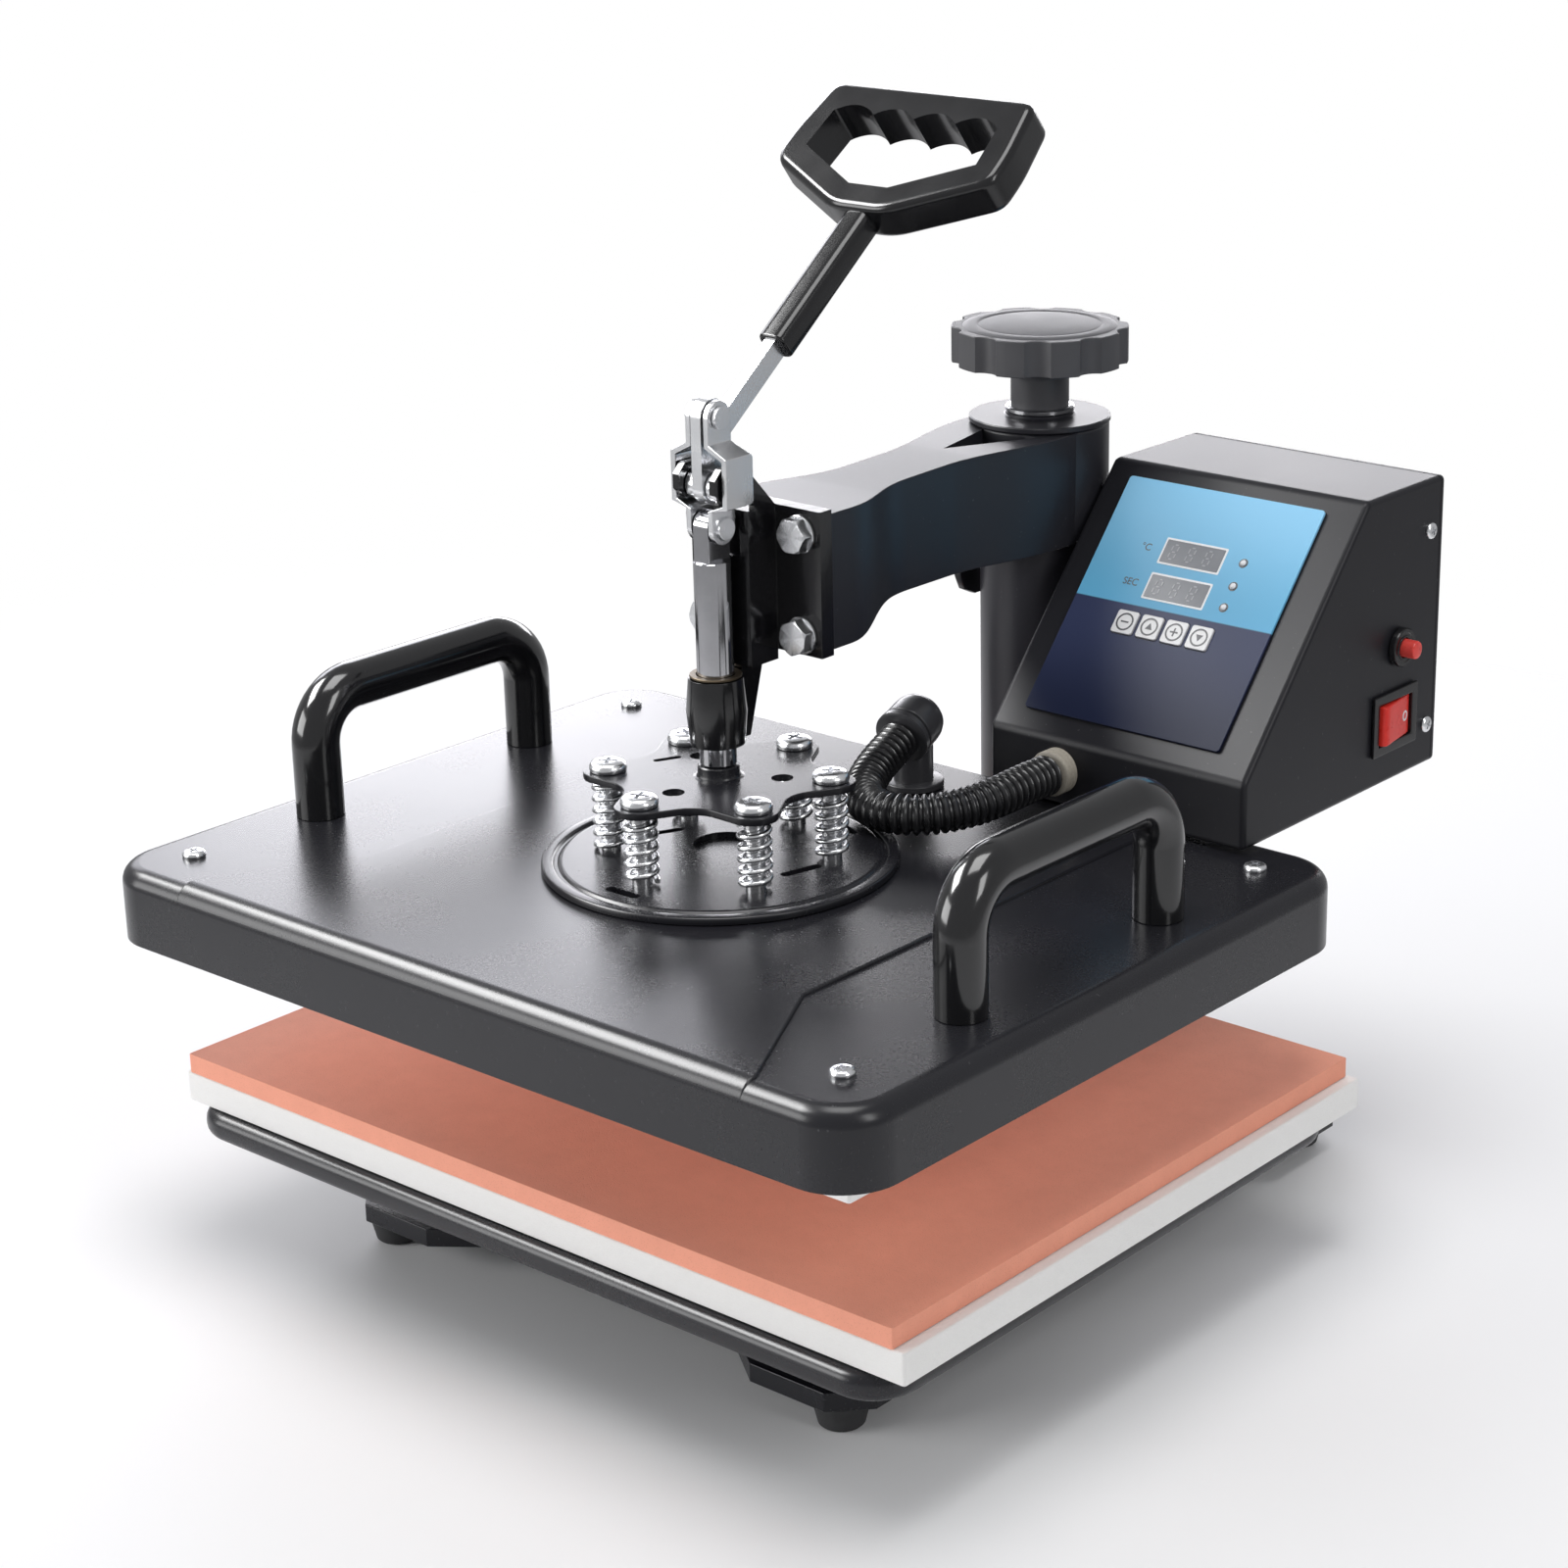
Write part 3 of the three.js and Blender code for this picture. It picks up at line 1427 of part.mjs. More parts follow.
function controlPanel() {
  const p = panel;
  const plate = slopeBlock(p.left, p.left + p.width, p.low, p.high, gap, gap + p.thick);
  const high = gap + p.thick + overrun;
  const screen = slopeBlock(
    p.screenLeft - gap,
    p.screenLeft + p.screenWidth + gap,
    p.screenLow - gap,
    p.screenHigh + gap,
    -overrun,
    high,
  );
  const half = p.keySize / 2 + gap;
  const keys = keyPlaces().map((x) => slopeBlock(x - half, x + half, p.keyAt - half, p.keyAt + half, -overrun, high));
  add("control_panel", cut(plate, screen, ...keys), panelBlue);
  const face = gap + p.thick;
  const display = slopeBlock(
    p.screenLeft,
    p.screenLeft + p.screenWidth,
    p.screenLow,
    p.screenHigh,
    moduleBottom,
    face,
  );
  add("display_module", display, screenGrey);
}

function circuitBoard() {
  const b = board;
  const top = -b.below;
  const plate = slopeBlock(
    boardLeft - b.boss,
    boardRight + b.boss,
    boardLow - b.boss,
    boardHigh + b.boss,
    top - b.thick,
    top,
  );
  add("circuit_board", plate, boardGreen);
}

function keys() {
  const p = panel;
  const half = p.keySize / 2;
  const face = gap + p.thick + p.keyProud;
  const foot = -board.below + p.keyTravel + gap;
  keyPlaces().forEach((x, index) => {
    const cap = slopeBlock(x - half, x + half, p.keyAt - half, p.keyAt + half, 0, face);
    const stem = slopeBlock(x - half / 2, x + half / 2, p.keyAt - half / 2, p.keyAt + half / 2, foot, weld);
    add("panel_key_" + (index + 1), join(cap, stem), keyWhite);
  });
}

// Rocker switch on the case's right side: housing with a pocket, and the rocker that tips in it

function rockerSwitch() {
  const r = rocker;
  const wallFace = box.left + box.width;
  const flangeFrom = wallFace + gap;
  const flangeTo = flangeFrom + r.flange;
  const halfY = r.width / 2;
  const halfZ = r.height / 2;
  const inY = halfY - r.bezel - gap;
  const inZ = halfZ - r.bezel - gap;
  const flange = block(flangeFrom, flangeTo, r.y - halfY, r.y + halfY, r.z - halfZ, r.z + halfZ);
  const body = block(wallFace - r.deep, flangeFrom + weld, r.y - inY, r.y + inY, r.z - inZ, r.z + inZ);
  const pocketY = inY - r.bezel / 2;
  const pocketZ = inZ - r.bezel / 2;
  const pocket = block(
    wallFace - r.deep + r.bezel,
    flangeTo + overrun,
    r.y - pocketY,
    r.y + pocketY,
    r.z - pocketZ,
    r.z + pocketZ,
  );
  add("rocker_housing", cut(join(flange, body), pocket), plasticBlack);
  const tipY = pocketY - slip;
  const tipZ = pocketZ - slip;
  const crest = flangeTo + r.proud;
  const bottom = wallFace - r.deep / 2;
  const drop = tipY * Math.tan((r.swingDeg * Math.PI) / 180);
  const inward = r.bezel;
  const profile = shapeOf([
    [-tipY + inward, bottom],
    [tipY - inward, bottom],
    [tipY - inward, crest - drop],
    [0, crest - drop / 4],
    [-tipY + inward, crest],
    [-tipY + inward / 2, crest - r.proud],
  ]);
  const tilt = new THREE.Matrix4().makeBasis(
    new THREE.Vector3(0, 1, 0),
    new THREE.Vector3(1, 0, 0),
    new THREE.Vector3(0, 0, -1),
  );
  const geometry = extrude(profile, 2 * tipZ).applyMatrix4(tilt).translate(0, r.y, r.z + tipZ);
  add("rocker_switch", solidOf(geometry), red);
}

// Round reset breaker above the rocker

function breakerSwitch() {
  const k = breaker;
  const wallFace = box.left + box.width;
  const nutFrom = wallFace + gap;
  const nutTo = nutFrom + k.nutThick;
  const nutDisc = rodX(k.nut, nutFrom, nutTo, k.y, k.z);
  const body = rodX(k.body, wallFace - k.deep, nutFrom + weld, k.y, k.z);
  const bore = rodX(k.button + slip, wallFace - k.deep / 2, nutTo + overrun, k.y, k.z);
  add("breaker_housing", cut(join(nutDisc, body), bore), plasticBlack);
  const end = nutTo + k.proud;
  const start = wallFace - k.deep / 2 + k.travel + slip;
  add("breaker_button", rodX(k.button, start, end, k.y, k.z), red);
}

// Mains inlet bush in the case's back; the cord itself isn't part of the press

function mainsInlet() {
  const i = inlet;
  const back = box.rearY + gap + box.back;
  const flangeFrom = back + gap;
  const body = rodY(i.radius, box.rearY - i.inside, back + i.out, i.x, i.z);
  const flange = rodY(i.flange, flangeFrom, flangeFrom + i.flangeThick, i.x, i.z);
  const bore = rodY(i.bore, box.rearY - i.inside - overrun, back + i.out + overrun, i.x, i.z, smallSteps);
  add("mains_inlet", cut(join(body, flange), bore), rubber);
}

function boxBracketPlate() {
  const b = boxBracket;
  const plate = block(b.left, box.left - gap, b.frontY, b.rearY, b.bottom, b.top);
  const hub = rodZ(arm.hubRadius + gap, b.bottom - overrun, b.top + overrun, 0, post.y, roundSteps * 2);
  add("box_bracket", cut(plate, hub), satinBlack);
}

// Ribbed hose from the platen's gland to the collar in the control box

const glandAim = gland.aim.clone().normalize();
const hoseStart = gland.mouth.clone().addScaledVector(glandAim, gap);
const collarFace = box.frontY - gap - collar.length;
const hoseEnd = new THREE.Vector3(collar.x, collarFace - gap, collar.z);

function hoseCurve() {
  const straight = 2 * hose.radius;
  const back = new THREE.Vector3(0, -1, 0);
  const points = [
    hoseStart,
    hoseStart.clone().addScaledVector(glandAim, straight / 2),
    hoseStart.clone().addScaledVector(glandAim, straight),
    ...hoseBend.map((place) => new THREE.Vector3(...place)),
    hoseEnd.clone().addScaledVector(back, straight),
    hoseEnd.clone().addScaledVector(back, straight / 2),
    hoseEnd,
  ];
  return new THREE.CatmullRomCurve3(points, false, "centripetal");
}

function ribbedHose() {
  const curve = hoseCurve();
  const length = curve.getLength();
  const ribs = Math.round(length / hose.pitch / hose.boreEvery) * hose.boreEvery;
  const steps = 2 * ribs;
  const outer = [];
  const inner = [];
  const side = new THREE.Vector3(0, 0, 1);
  const frameAt = (i) => {
    const point = curve.getPointAt(i / steps);
    let along = curve.getTangentAt(i / steps);
    if (i === 0) along = glandAim.clone();
    if (i === steps) along = new THREE.Vector3(0, 1, 0);
    const across = new THREE.Vector3().crossVectors(along, side).normalize();
    const up = new THREE.Vector3().crossVectors(across, along).normalize();
    return { point, across, up };
  };
  for (let i = 0; i <= steps; i++) {
    const { point, across, up } = frameAt(i);
    const radius = i % 2 === 0 ? hose.root : hose.radius;
    outer.push(ringOf(point, across, up, radius, hose.sides));
    if (i % (2 * hose.boreEvery) === 0) inner.push(ringOf(point, across, up, hose.bore, hose.sides));
  }
  console.log("hose length " + length.toFixed(1) + " mm, " + ribs + " ribs");
  add("platen_hose", solidOf(tubeOf([...outer, ...inner.reverse()], true)), plasticBlack);
}

function hoseCollar() {
  const neckEnd = box.frontY + box.wall + collar.inside;
  const ring = rodY(collar.radius, collarFace, box.frontY - gap, collar.x, collar.z);
  const neck = rodY(collar.neck, box.frontY - gap - weld, neckEnd, collar.x, collar.z);
  const bore = rodY(hose.bore, collarFace - overrun, neckEnd + overrun, collar.x, collar.z);
  add("hose_collar", cut(join(ring, neck), bore), cream);
}

// Turns a solid made along +Z from z = 0 so that it ends at the gland's mouth along its aim
function ontoGland(solid) {
  const turn = new THREE.Quaternion().setFromUnitVectors(new THREE.Vector3(0, 0, 1), glandAim);
  const matrix = new THREE.Matrix4().compose(gland.mouth, turn, new THREE.Vector3(1, 1, 1));
  return solid.transform(matrix.elements);
}

function hoseGland() {
  const g = gland;
  const back = -g.nutLength - g.capLength;
  const profile = [
    [0, back],
    [g.capRadius - g.cone, back],
    [g.capRadius, back + g.cone],
    [g.capRadius, -g.nutLength],
    [g.nutRadius, -g.nutLength],
    [g.nutRadius, 0],
    [0, 0],
  ];
  const head = ontoGland(solidOf(turned(profile)));
  const bore = ontoGland(rodZ(hose.bore, back / 2, overrun));
  const centre = g.mouth.clone().addScaledVector(glandAim, back / 2);
  const low = coverTop + emboss.raise + gap;
  const stem = rodZ(g.stem, low, centre.z, centre.x, centre.y);
  const base = rodZ(g.baseRadius, low, low + g.baseThick, centre.x, centre.y);
  add("hose_gland", cut(join(head, stem, base), bore), greyBlack);
}

// The whole press

baseFrame();
feet();
postTube();
postNut();
lowerPlaten();
pads();
heaterPlate();
platenCover();
springDisc();
sideHandle("handle_left", -1);
sideHandle("handle_right", 1);
springs();
springScrews();
plunger();
headBracket();
guideBush();
pivotPin();
links();
leverBar();
handGrip();
armShell();
hubCapPlate();
liftRing();
pressureKnob();
controlCase();
caseBack();
controlPanel();
circuitBoard();
keys();
rockerSwitch();
breakerSwitch();
mainsInlet();
boxBracketPlate();
ribbedHose();
hoseCollar();
hoseGland();

const bounds = new THREE.Box3().setFromObject(group);
const middle = bounds.getCenter(new THREE.Vector3());
group.position.set(-middle.x, -middle.y, 0);
console.log("moved by x " + (-middle.x).toFixed(4) + " y " + (-middle.y).toFixed(4) + " mm");

export default group;
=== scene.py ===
"""Dresses the combo heat press: smooth forms, fasteners, printed panel, finishes, light and camera."""

import math

import bmesh
import bpy
from bpy.props import FloatProperty, FloatVectorProperty, IntProperty, PointerProperty
from mathutils import Matrix, Vector


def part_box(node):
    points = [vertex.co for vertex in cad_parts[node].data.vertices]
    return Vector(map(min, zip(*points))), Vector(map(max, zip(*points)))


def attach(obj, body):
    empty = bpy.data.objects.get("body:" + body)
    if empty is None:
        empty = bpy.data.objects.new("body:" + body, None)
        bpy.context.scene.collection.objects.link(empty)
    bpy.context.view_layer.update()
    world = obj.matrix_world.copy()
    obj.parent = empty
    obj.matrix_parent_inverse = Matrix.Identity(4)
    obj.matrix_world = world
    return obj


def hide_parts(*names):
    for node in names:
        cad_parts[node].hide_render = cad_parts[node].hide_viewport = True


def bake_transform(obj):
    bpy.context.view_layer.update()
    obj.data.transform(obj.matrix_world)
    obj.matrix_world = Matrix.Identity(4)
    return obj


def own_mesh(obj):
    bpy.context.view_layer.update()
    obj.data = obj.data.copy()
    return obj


bl_info = {
    "name": "Combo heat press",
    "version": (1, 0, 0),
    "blender": (4, 5, 0),
    "location": "View3D > Sidebar > Press",
    "description": "Dresses a combo heat press with its forms, finishes, light and camera",
    "category": "Object",
}

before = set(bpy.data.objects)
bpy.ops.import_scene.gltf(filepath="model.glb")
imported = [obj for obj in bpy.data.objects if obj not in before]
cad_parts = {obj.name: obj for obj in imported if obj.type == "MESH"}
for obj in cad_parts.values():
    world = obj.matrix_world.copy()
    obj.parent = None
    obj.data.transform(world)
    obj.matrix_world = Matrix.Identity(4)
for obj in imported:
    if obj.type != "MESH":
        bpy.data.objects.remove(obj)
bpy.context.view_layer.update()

# All shapes are drawn in millimetres from the press axis and the floor, then moved into the shared frame.
MM = 0.001
METRE = 1000.0
FULL = 2 * math.pi
QUARTER = math.pi / 2
UP = Vector((0, 0, 1))
ROD_LOW, ROD_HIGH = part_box("plunger_rod")
AXIS_Y = (ROD_LOW[1] + ROD_HIGH[1]) / 2
TO_FRAME = Matrix.Translation((0, AXIS_Y, 0)) @ Matrix.Scale(MM, 4)
FROM_FRAME = TO_FRAME.inverted()


def in_frame(x, y, z):
    """A point of the drawing in the shared frame, in metres."""
    return TO_FRAME @ Vector((x, y, z))


def edges_of(node):
    """A node's lowest and highest corners in the drawing's millimetres."""
    low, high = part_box(node)
    return FROM_FRAME @ Vector(low), FROM_FRAME @ Vector(high)


def middle_of(node):
    """The middle of a node's box in the drawing's millimetres."""
    low, high = edges_of(node)
    return (low + high) / 2


# Node trees


class Field:
    """A socket that can stand in sums: each operator adds the Math node that it means."""

    def __init__(self, tree, socket):
        self.tree = tree
        self.socket = socket

    def math(self, operation, *values):
        """Adds a Math node fed with fields or numbers."""
        node = self.tree.nodes.new("ShaderNodeMath")
        node.operation = operation
        for slot, value in zip(node.inputs, values):
            feed(self.tree, slot, value)
        return Field(self.tree, node.outputs[0])

    def __add__(self, other):
        return self.math("ADD", self, other)

    def __radd__(self, other):
        return self.math("ADD", other, self)

    def __sub__(self, other):
        return self.math("SUBTRACT", self, other)

    def __rsub__(self, other):
        return self.math("SUBTRACT", other, self)

    def __mul__(self, other):
        return self.math("MULTIPLY", self, other)

    def __pow__(self, other):
        return self.math("POWER", self, other)

    def ramp(self, low, high):
        """0 at low, 1 at high, smooth between."""
        node = self.tree.nodes.new("ShaderNodeMapRange")
        node.interpolation_type = "SMOOTHSTEP"
        for name, value in (("Value", self), ("From Min", low), ("From Max", high)):
            feed(self.tree, node.inputs[name], value)
        return Field(self.tree, node.outputs["Result"])


def feed(tree, slot, value):
    """Links a field to a socket, or sets the socket to a number or a colour."""
    if isinstance(value, Field):
        tree.links.new(value.socket, slot)
    elif slot.type == "RGBA":
        slot.default_value = (*value[:3], 1)
    else:
        slot.default_value = value


class Nodes:
    """The node tree of a material or world, cleared, with short ways to add to it."""

    def __init__(self, owner):
        self.owner = owner
        owner.use_nodes = True
        self.tree = owner.node_tree
        self.tree.nodes.clear()

    def node(self, kind, operation=None, **values):
        """Adds a node, feeds its sockets, with _ for a space, and gives its outputs by name."""
        fresh = self.tree.nodes.new(kind)
        if operation:
            fresh.operation = operation
        for name, value in values.items():
            feed(self.tree, fresh.inputs[name.replace("_", " ")], value)
        return {socket.name: Field(self.tree, socket) for socket in fresh.outputs}

    def blend(self, share, first, second):
        """Two shaders mixed by a share: 0 is the first, 1 the second."""
        fresh = self.tree.nodes.new("ShaderNodeMixShader")
        for slot, value in zip(fresh.inputs, (share, first, second)):
            feed(self.tree, slot, value)
        return Field(self.tree, fresh.outputs[0])


class Recipe(Nodes):
    """One material's nodes. Places are in millimetres."""

    def __init__(self, name):
        super().__init__(bpy.data.materials.new(name))
        place = self.node("ShaderNodeTexCoord")["Object"]
        self.place = self.node("ShaderNodeVectorMath", "SCALE", Vector=place, Scale=METRE)["Vector"]

    def axes(self):
        """The place's x, y and z, with y counted from the press axis."""
        parts = self.node("ShaderNodeSeparateXYZ", Vector=self.place)
        return parts["X"], parts["Y"] - AXIS_Y * METRE, parts["Z"]

    def noise(self, grain, detail=2.0, roughness=0.5, stretch=None):
        """Noise from 0 to 1 whose grains are about so many millimetres across."""
        place = self.place
        if stretch:
            place = self.node("ShaderNodeMapping", Vector=place, Scale=stretch)["Vector"]
        shape = {"Scale": 1 / grain, "Detail": detail, "Roughness": roughness}
        return self.node("ShaderNodeTexNoise", Vector=place, **shape)["Fac"]

    def cells(self, grain):
        """Distance from the middle of cells about so many millimetres across."""
        return self.node("ShaderNodeTexVoronoi", Vector=self.place, Scale=1 / grain)["Distance"]

    def mix(self, share, first, second):
        """Colours mixed by a share from 0 to 1."""
        fresh = self.tree.nodes.new("ShaderNodeMix")
        fresh.data_type = "RGBA"
        for slot, value in ((0, share), (6, first), (7, second)):
            feed(self.tree, fresh.inputs[slot], value)
        return Field(self.tree, fresh.outputs[2])

    def bump(self, height, depth):
        """A normal from a height field; depth in millimetres."""
        return self.node("ShaderNodeBump", Height=height, Strength=1.0, Distance=depth * MM)["Normal"]

    def shown(self, shader):
        """The material, with this shader as its surface."""
        self.node("ShaderNodeOutputMaterial", Surface=shader)
        return self.owner

    def surface(self, colour, roughness, metallic=0.0, normal=None, **fixed):
        """The material, painted. Each fixed socket has one value all over."""
        if normal:
            fixed["Normal"] = normal
        paint = self.node(
            "ShaderNodeBsdfPrincipled", Base_Color=colour, Roughness=roughness, Metallic=metallic, **fixed
        )
        return self.shown(paint["BSDF"])


# Materials


def tinted(colour, gain, lift=0.0):
    """A colour made paler or deeper, as far as white."""
    return tuple(min(channel * gain + lift, 1) for channel in colour)


def two_tone(name, noise, dark, pale, rough, gain=0.0, relief=0.0, metallic=0.0, **fixed):
    """A finish of one noise that mixes two shades and, with a gain or relief, sets its gloss and height."""
    recipe = Recipe(name)
    cloud = recipe.noise(*noise)
    gloss = rough + cloud * gain if gain else rough
    normal = recipe.bump(cloud, relief) if relief else None
    return recipe.surface(recipe.mix(cloud, dark, pale), gloss, metallic, normal, **fixed)


def powder_coat(name, colour, roughness, peel=0.002, grain=1.4, shine=0.4):
    """Baked powder coat: fine orange peel, faint cloudiness and a few pale specks of dust."""
    recipe = Recipe(name)
    cloud = recipe.noise(55, 4)
    fine = recipe.noise(grain, 3)
    specks = recipe.noise(1.6, 1).ramp(0.74, 0.8)
    shade = recipe.mix(cloud * 0.8, colour, tinted(colour, 1.4, 0.003))
    shade = recipe.mix(specks * 0.12, shade, (0.3, 0.3, 0.31))
    rough = roughness + (cloud - 0.5) * 0.04 + (fine - 0.5) * 0.02
    return recipe.surface(shade, rough, 0.0, recipe.bump(fine, peel), Specular_IOR_Level=shine)


def enamel(name, colour, roughness):
    """Glossy enamel with soft waves from dipping."""
    recipe = Recipe(name)
    waves = recipe.noise(9, 2)
    dust = recipe.noise(1.2, 2).ramp(0.72, 0.8)
    shade = recipe.mix(dust * 0.2, colour, (0.1, 0.1, 0.11))
    rough = roughness + recipe.noise(20, 3) * 0.08 + dust * 0.15
    normal = recipe.bump(waves + dust * 0.1, 0.05)
    return recipe.surface(shade, rough, 0.0, normal, Coat_Weight=0.5, Coat_Roughness=0.08)


def moulded(name, colour, roughness, grain=0.35, depth=0.012):
    """Injection-moulded plastic with a fine spark texture."""
    recipe = Recipe(name)
    spark = recipe.cells(grain)
    cloud = recipe.noise(18, 3)
    shade = recipe.mix(cloud * 0.6, colour, tinted(colour, 1.6, 0.004))
    return recipe.surface(shade, roughness + (cloud - 0.5) * 0.14, 0.0, recipe.bump(spark, depth))


def black_rubber():
    """Matt black rubber with a fine grain."""
    recipe = Recipe("black_rubber")
    grain = recipe.noise(0.5, 3)
    shade = recipe.mix(recipe.noise(6, 3), (0.018, 0.018, 0.019), (0.045, 0.045, 0.047))
    return recipe.surface(shade, 0.72 + (grain - 0.5) * 0.2, 0.0, recipe.bump(grain, 0.04))


def bright_zinc():
    """Zinc plate: silver with faint blue and straw clouds, fine scratches and duller patches."""
    recipe = Recipe("bright_zinc")
    cloud = recipe.noise(16, 3)
    straw = recipe.noise(11, 2).ramp(0.55, 0.8)
    scratch = recipe.noise(0.25, 2, 0.6, (1.0, 1.0, 0.08))
    shade = recipe.mix(cloud, (0.76, 0.77, 0.79), (0.86, 0.865, 0.88))
    shade = recipe.mix(straw * 0.15, shade, (0.8, 0.77, 0.7))
    rough = 0.22 + cloud * 0.08 + (scratch - 0.5) * 0.06
    return recipe.surface(shade, rough, 1.0, recipe.bump(scratch, 0.002))


def ground_chrome():
    """Hard chrome, ground round: rings too fine to see that stretch its highlights."""
    recipe = Recipe("ground_chrome")
    rings = recipe.noise(0.12, 2, 0.5, (0.02, 0.02, 1.0))
    grey = recipe.mix(recipe.noise(12, 2), (0.4, 0.4, 0.42), (0.54, 0.54, 0.56))
    return recipe.surface(grey, 0.08 + rings * 0.08, 1.0, recipe.bump(rings, 0.002))


def milled_aluminium():
    """Aluminium with fine milling lines across it."""
    lines = (0.5, 2, 0.6, (0.02, 1.0, 1.0))
    tones = (0.7, 0.7, 0.69), (0.84, 0.83, 0.82)
    return two_tone("milled_aluminium", lines, *tones, rough=0.28, gain=0.2, relief=0.02, metallic=1.0)


def plain_brass():
    """Turned brass, a little dulled."""
    tones = (0.55, 0.38, 0.16), (0.72, 0.53, 0.26)
    return two_tone("plain_brass", (3, 3), *tones, rough=0.28, gain=0.18, metallic=1.0)


def oiled_bronze():
    """Sintered bronze, dark with oil."""
    tones = (0.07, 0.055, 0.04), (0.14, 0.11, 0.075)
    return two_tone("oiled_bronze", (0.8, 3), *tones, rough=0.4, gain=0.12, metallic=1.0)


def silicone_sponge(colour):
    """Closed-cell silicone sponge: matt coral with fine pores and a mottled skin."""
    recipe = Recipe("silicone_sponge")
    pits = recipe.cells(0.9).ramp(0.0, 0.35)
    mottle = recipe.noise(11, 5, 0.6)
    fine = recipe.noise(0.8, 2)
    shade = recipe.mix(mottle, tinted(colour, 0.93), tinted(colour, 1.05, 0.008))
    # The pores are painted darker: painted shade inside them.
    shade = recipe.mix((1 - pits) * 0.35, shade, tinted(colour, 0.6))
    rough = 0.86 + (fine - 0.5) * 0.16
    return recipe.surface(shade, rough, 0.0, recipe.bump(pits + fine * 0.6, 0.09))


def heat_felt():
    """White needled heat felt: fibres in every direction."""
    recipe = Recipe("heat_felt")
    along = recipe.noise(0.5, 4, 0.7, (0.25, 1.0, 1.0))
    across = recipe.noise(0.5, 4, 0.7, (1.0, 0.25, 1.0))
    fibres = along * 0.5 + across * 0.5
    shade = recipe.mix(fibres, (0.84, 0.83, 0.81), (0.98, 0.975, 0.96))
    return recipe.surface(shade, 0.9, 0.0, recipe.bump(fibres, 0.35), Sheen_Weight=0.2)


def printed_film(sky, navy, split, top):
    """The panel's film: pale blue over navy, a sharp line between them and a soft satin face."""
    recipe = Recipe("printed_film")
    _, y, z = recipe.axes()
    up = (y - CASE_LOW.y) * math.cos(SLOPE) + (z - LIP) * math.sin(SLOPE)
    grain = recipe.noise(0.4, 2)
    # The pale blue grows paler towards the top: painted sheen.
    upper = recipe.mix(up.ramp(split, top), tinted(sky, 0.92), tinted(sky, 1, 0.14))
    lower = recipe.mix(up.ramp(8.0, split), navy, tinted(navy, 2.6, 0.015))
    shade = recipe.mix(up.ramp(split - 0.4, split + 0.4), lower, upper)
    rough = 0.42 + (grain - 0.5) * 0.1
    return recipe.surface(shade, rough, 0.0, recipe.bump(grain, 0.006), Specular_IOR_Level=0.13)


def smoked_screen():
    """The displays' smoked window."""
    tones = (0.08, 0.09, 0.11), (0.12, 0.13, 0.155)
    return two_tone("smoked_screen", (10, 2), *tones, rough=0.3, gain=0.06, Specular_IOR_Level=0.3)


def printed_white():
    """White ink on the film."""
    return two_tone("printed_white", (0.6, 2), (0.75, 0.76, 0.78), (0.88, 0.88, 0.9), rough=0.4, gain=0.1)


def printed_black():
    """Black ink on the film and the keys."""
    return two_tone("printed_black", (0.6, 2), (0.01, 0.012, 0.02), (0.025, 0.03, 0.04), rough=0.4, gain=0.1)


def ghost_segment():
    """A display's bars when they are off."""
    return two_tone("ghost_segment", (1.5, 2), (0.17, 0.18, 0.2), (0.26, 0.27, 0.3), rough=0.3, gain=0.1)


def red_lens(name, colour):
    """Clear red plastic over a pale core."""
    fixed = {"Specular_IOR_Level": 0.3, "Subsurface_Weight": 0.15, "Subsurface_Scale": 0.004}
    return two_tone(name, (5, 2), colour, tinted(colour, 1.35, 0.02), rough=0.24, gain=0.08, **fixed)


def cream_nylon():
    """Aged cream nylon."""
    tones = (0.33, 0.3, 0.25), (0.5, 0.46, 0.39)
    return two_tone("cream_nylon", (1.1, 3), *tones, rough=0.42, gain=0.1, relief=0.02)


def solder_mask():
    """The circuit board's green lacquer."""
    return two_tone("solder_mask", (2, 3), (0.02, 0.13, 0.06), (0.04, 0.2, 0.1), rough=0.4)


def conduit_plastic():
    """Ribbed conduit: glossy black nylon."""
    tones = (0.008, 0.008, 0.009), (0.02, 0.02, 0.022)
    coat = {"Coat_Weight": 0.3, "Coat_Roughness": 0.16}
    return two_tone("conduit_plastic", (6, 3), *tones, rough=0.24, gain=0.08, **coat)


# Each finish by name: its material and the record's slot that it belongs to
FINISHES = {}


# Shapes

# Turns a form drawn flat so that its x runs along y, its y upwards and its height along x
ALONG_X = Matrix(((0, 0, 1, 0), (1, 0, 0, 0), (0, 1, 0, 0), (0, 0, 0, 1)))
# Turns a form drawn flat so that its y runs upwards and its height forwards
ALONG_Y = Matrix.Rotation(QUARTER, 4, "X")


def moved(bm, matrix):
    """Moves a whole bmesh and gives it back."""
    bmesh.ops.transform(bm, matrix=matrix, verts=bm.verts)
    return bm


def leaning(direction):
    """The matrix that leans the Z axis toward a direction."""
    return UP.rotation_difference(Vector(direction)).to_matrix().to_4x4()


def spun(degrees):
    """The matrix that turns about the Z axis."""
    return Matrix.Rotation(math.radians(degrees), 4, "Z")


def bevelled(bm, edges, width, segments):
    """Rounds edges and gives the new vertices."""
    return bmesh.ops.bevel(
        bm, geom=edges, offset=width, offset_type="OFFSET", segments=segments, profile=0.5,
        affect="EDGES", clamp_overlap=True, material=-1,
    )["verts"]


def level_at(item, height):
    """Whether all vertices of an edge or face lie at a height."""
    return all(abs(vert.co.z - height) < 0.01 for vert in item.verts)


def only_verts(items):
    """The vertices among what an operator gave."""
    return [item for item in items if isinstance(item, bmesh.types.BMVert)]


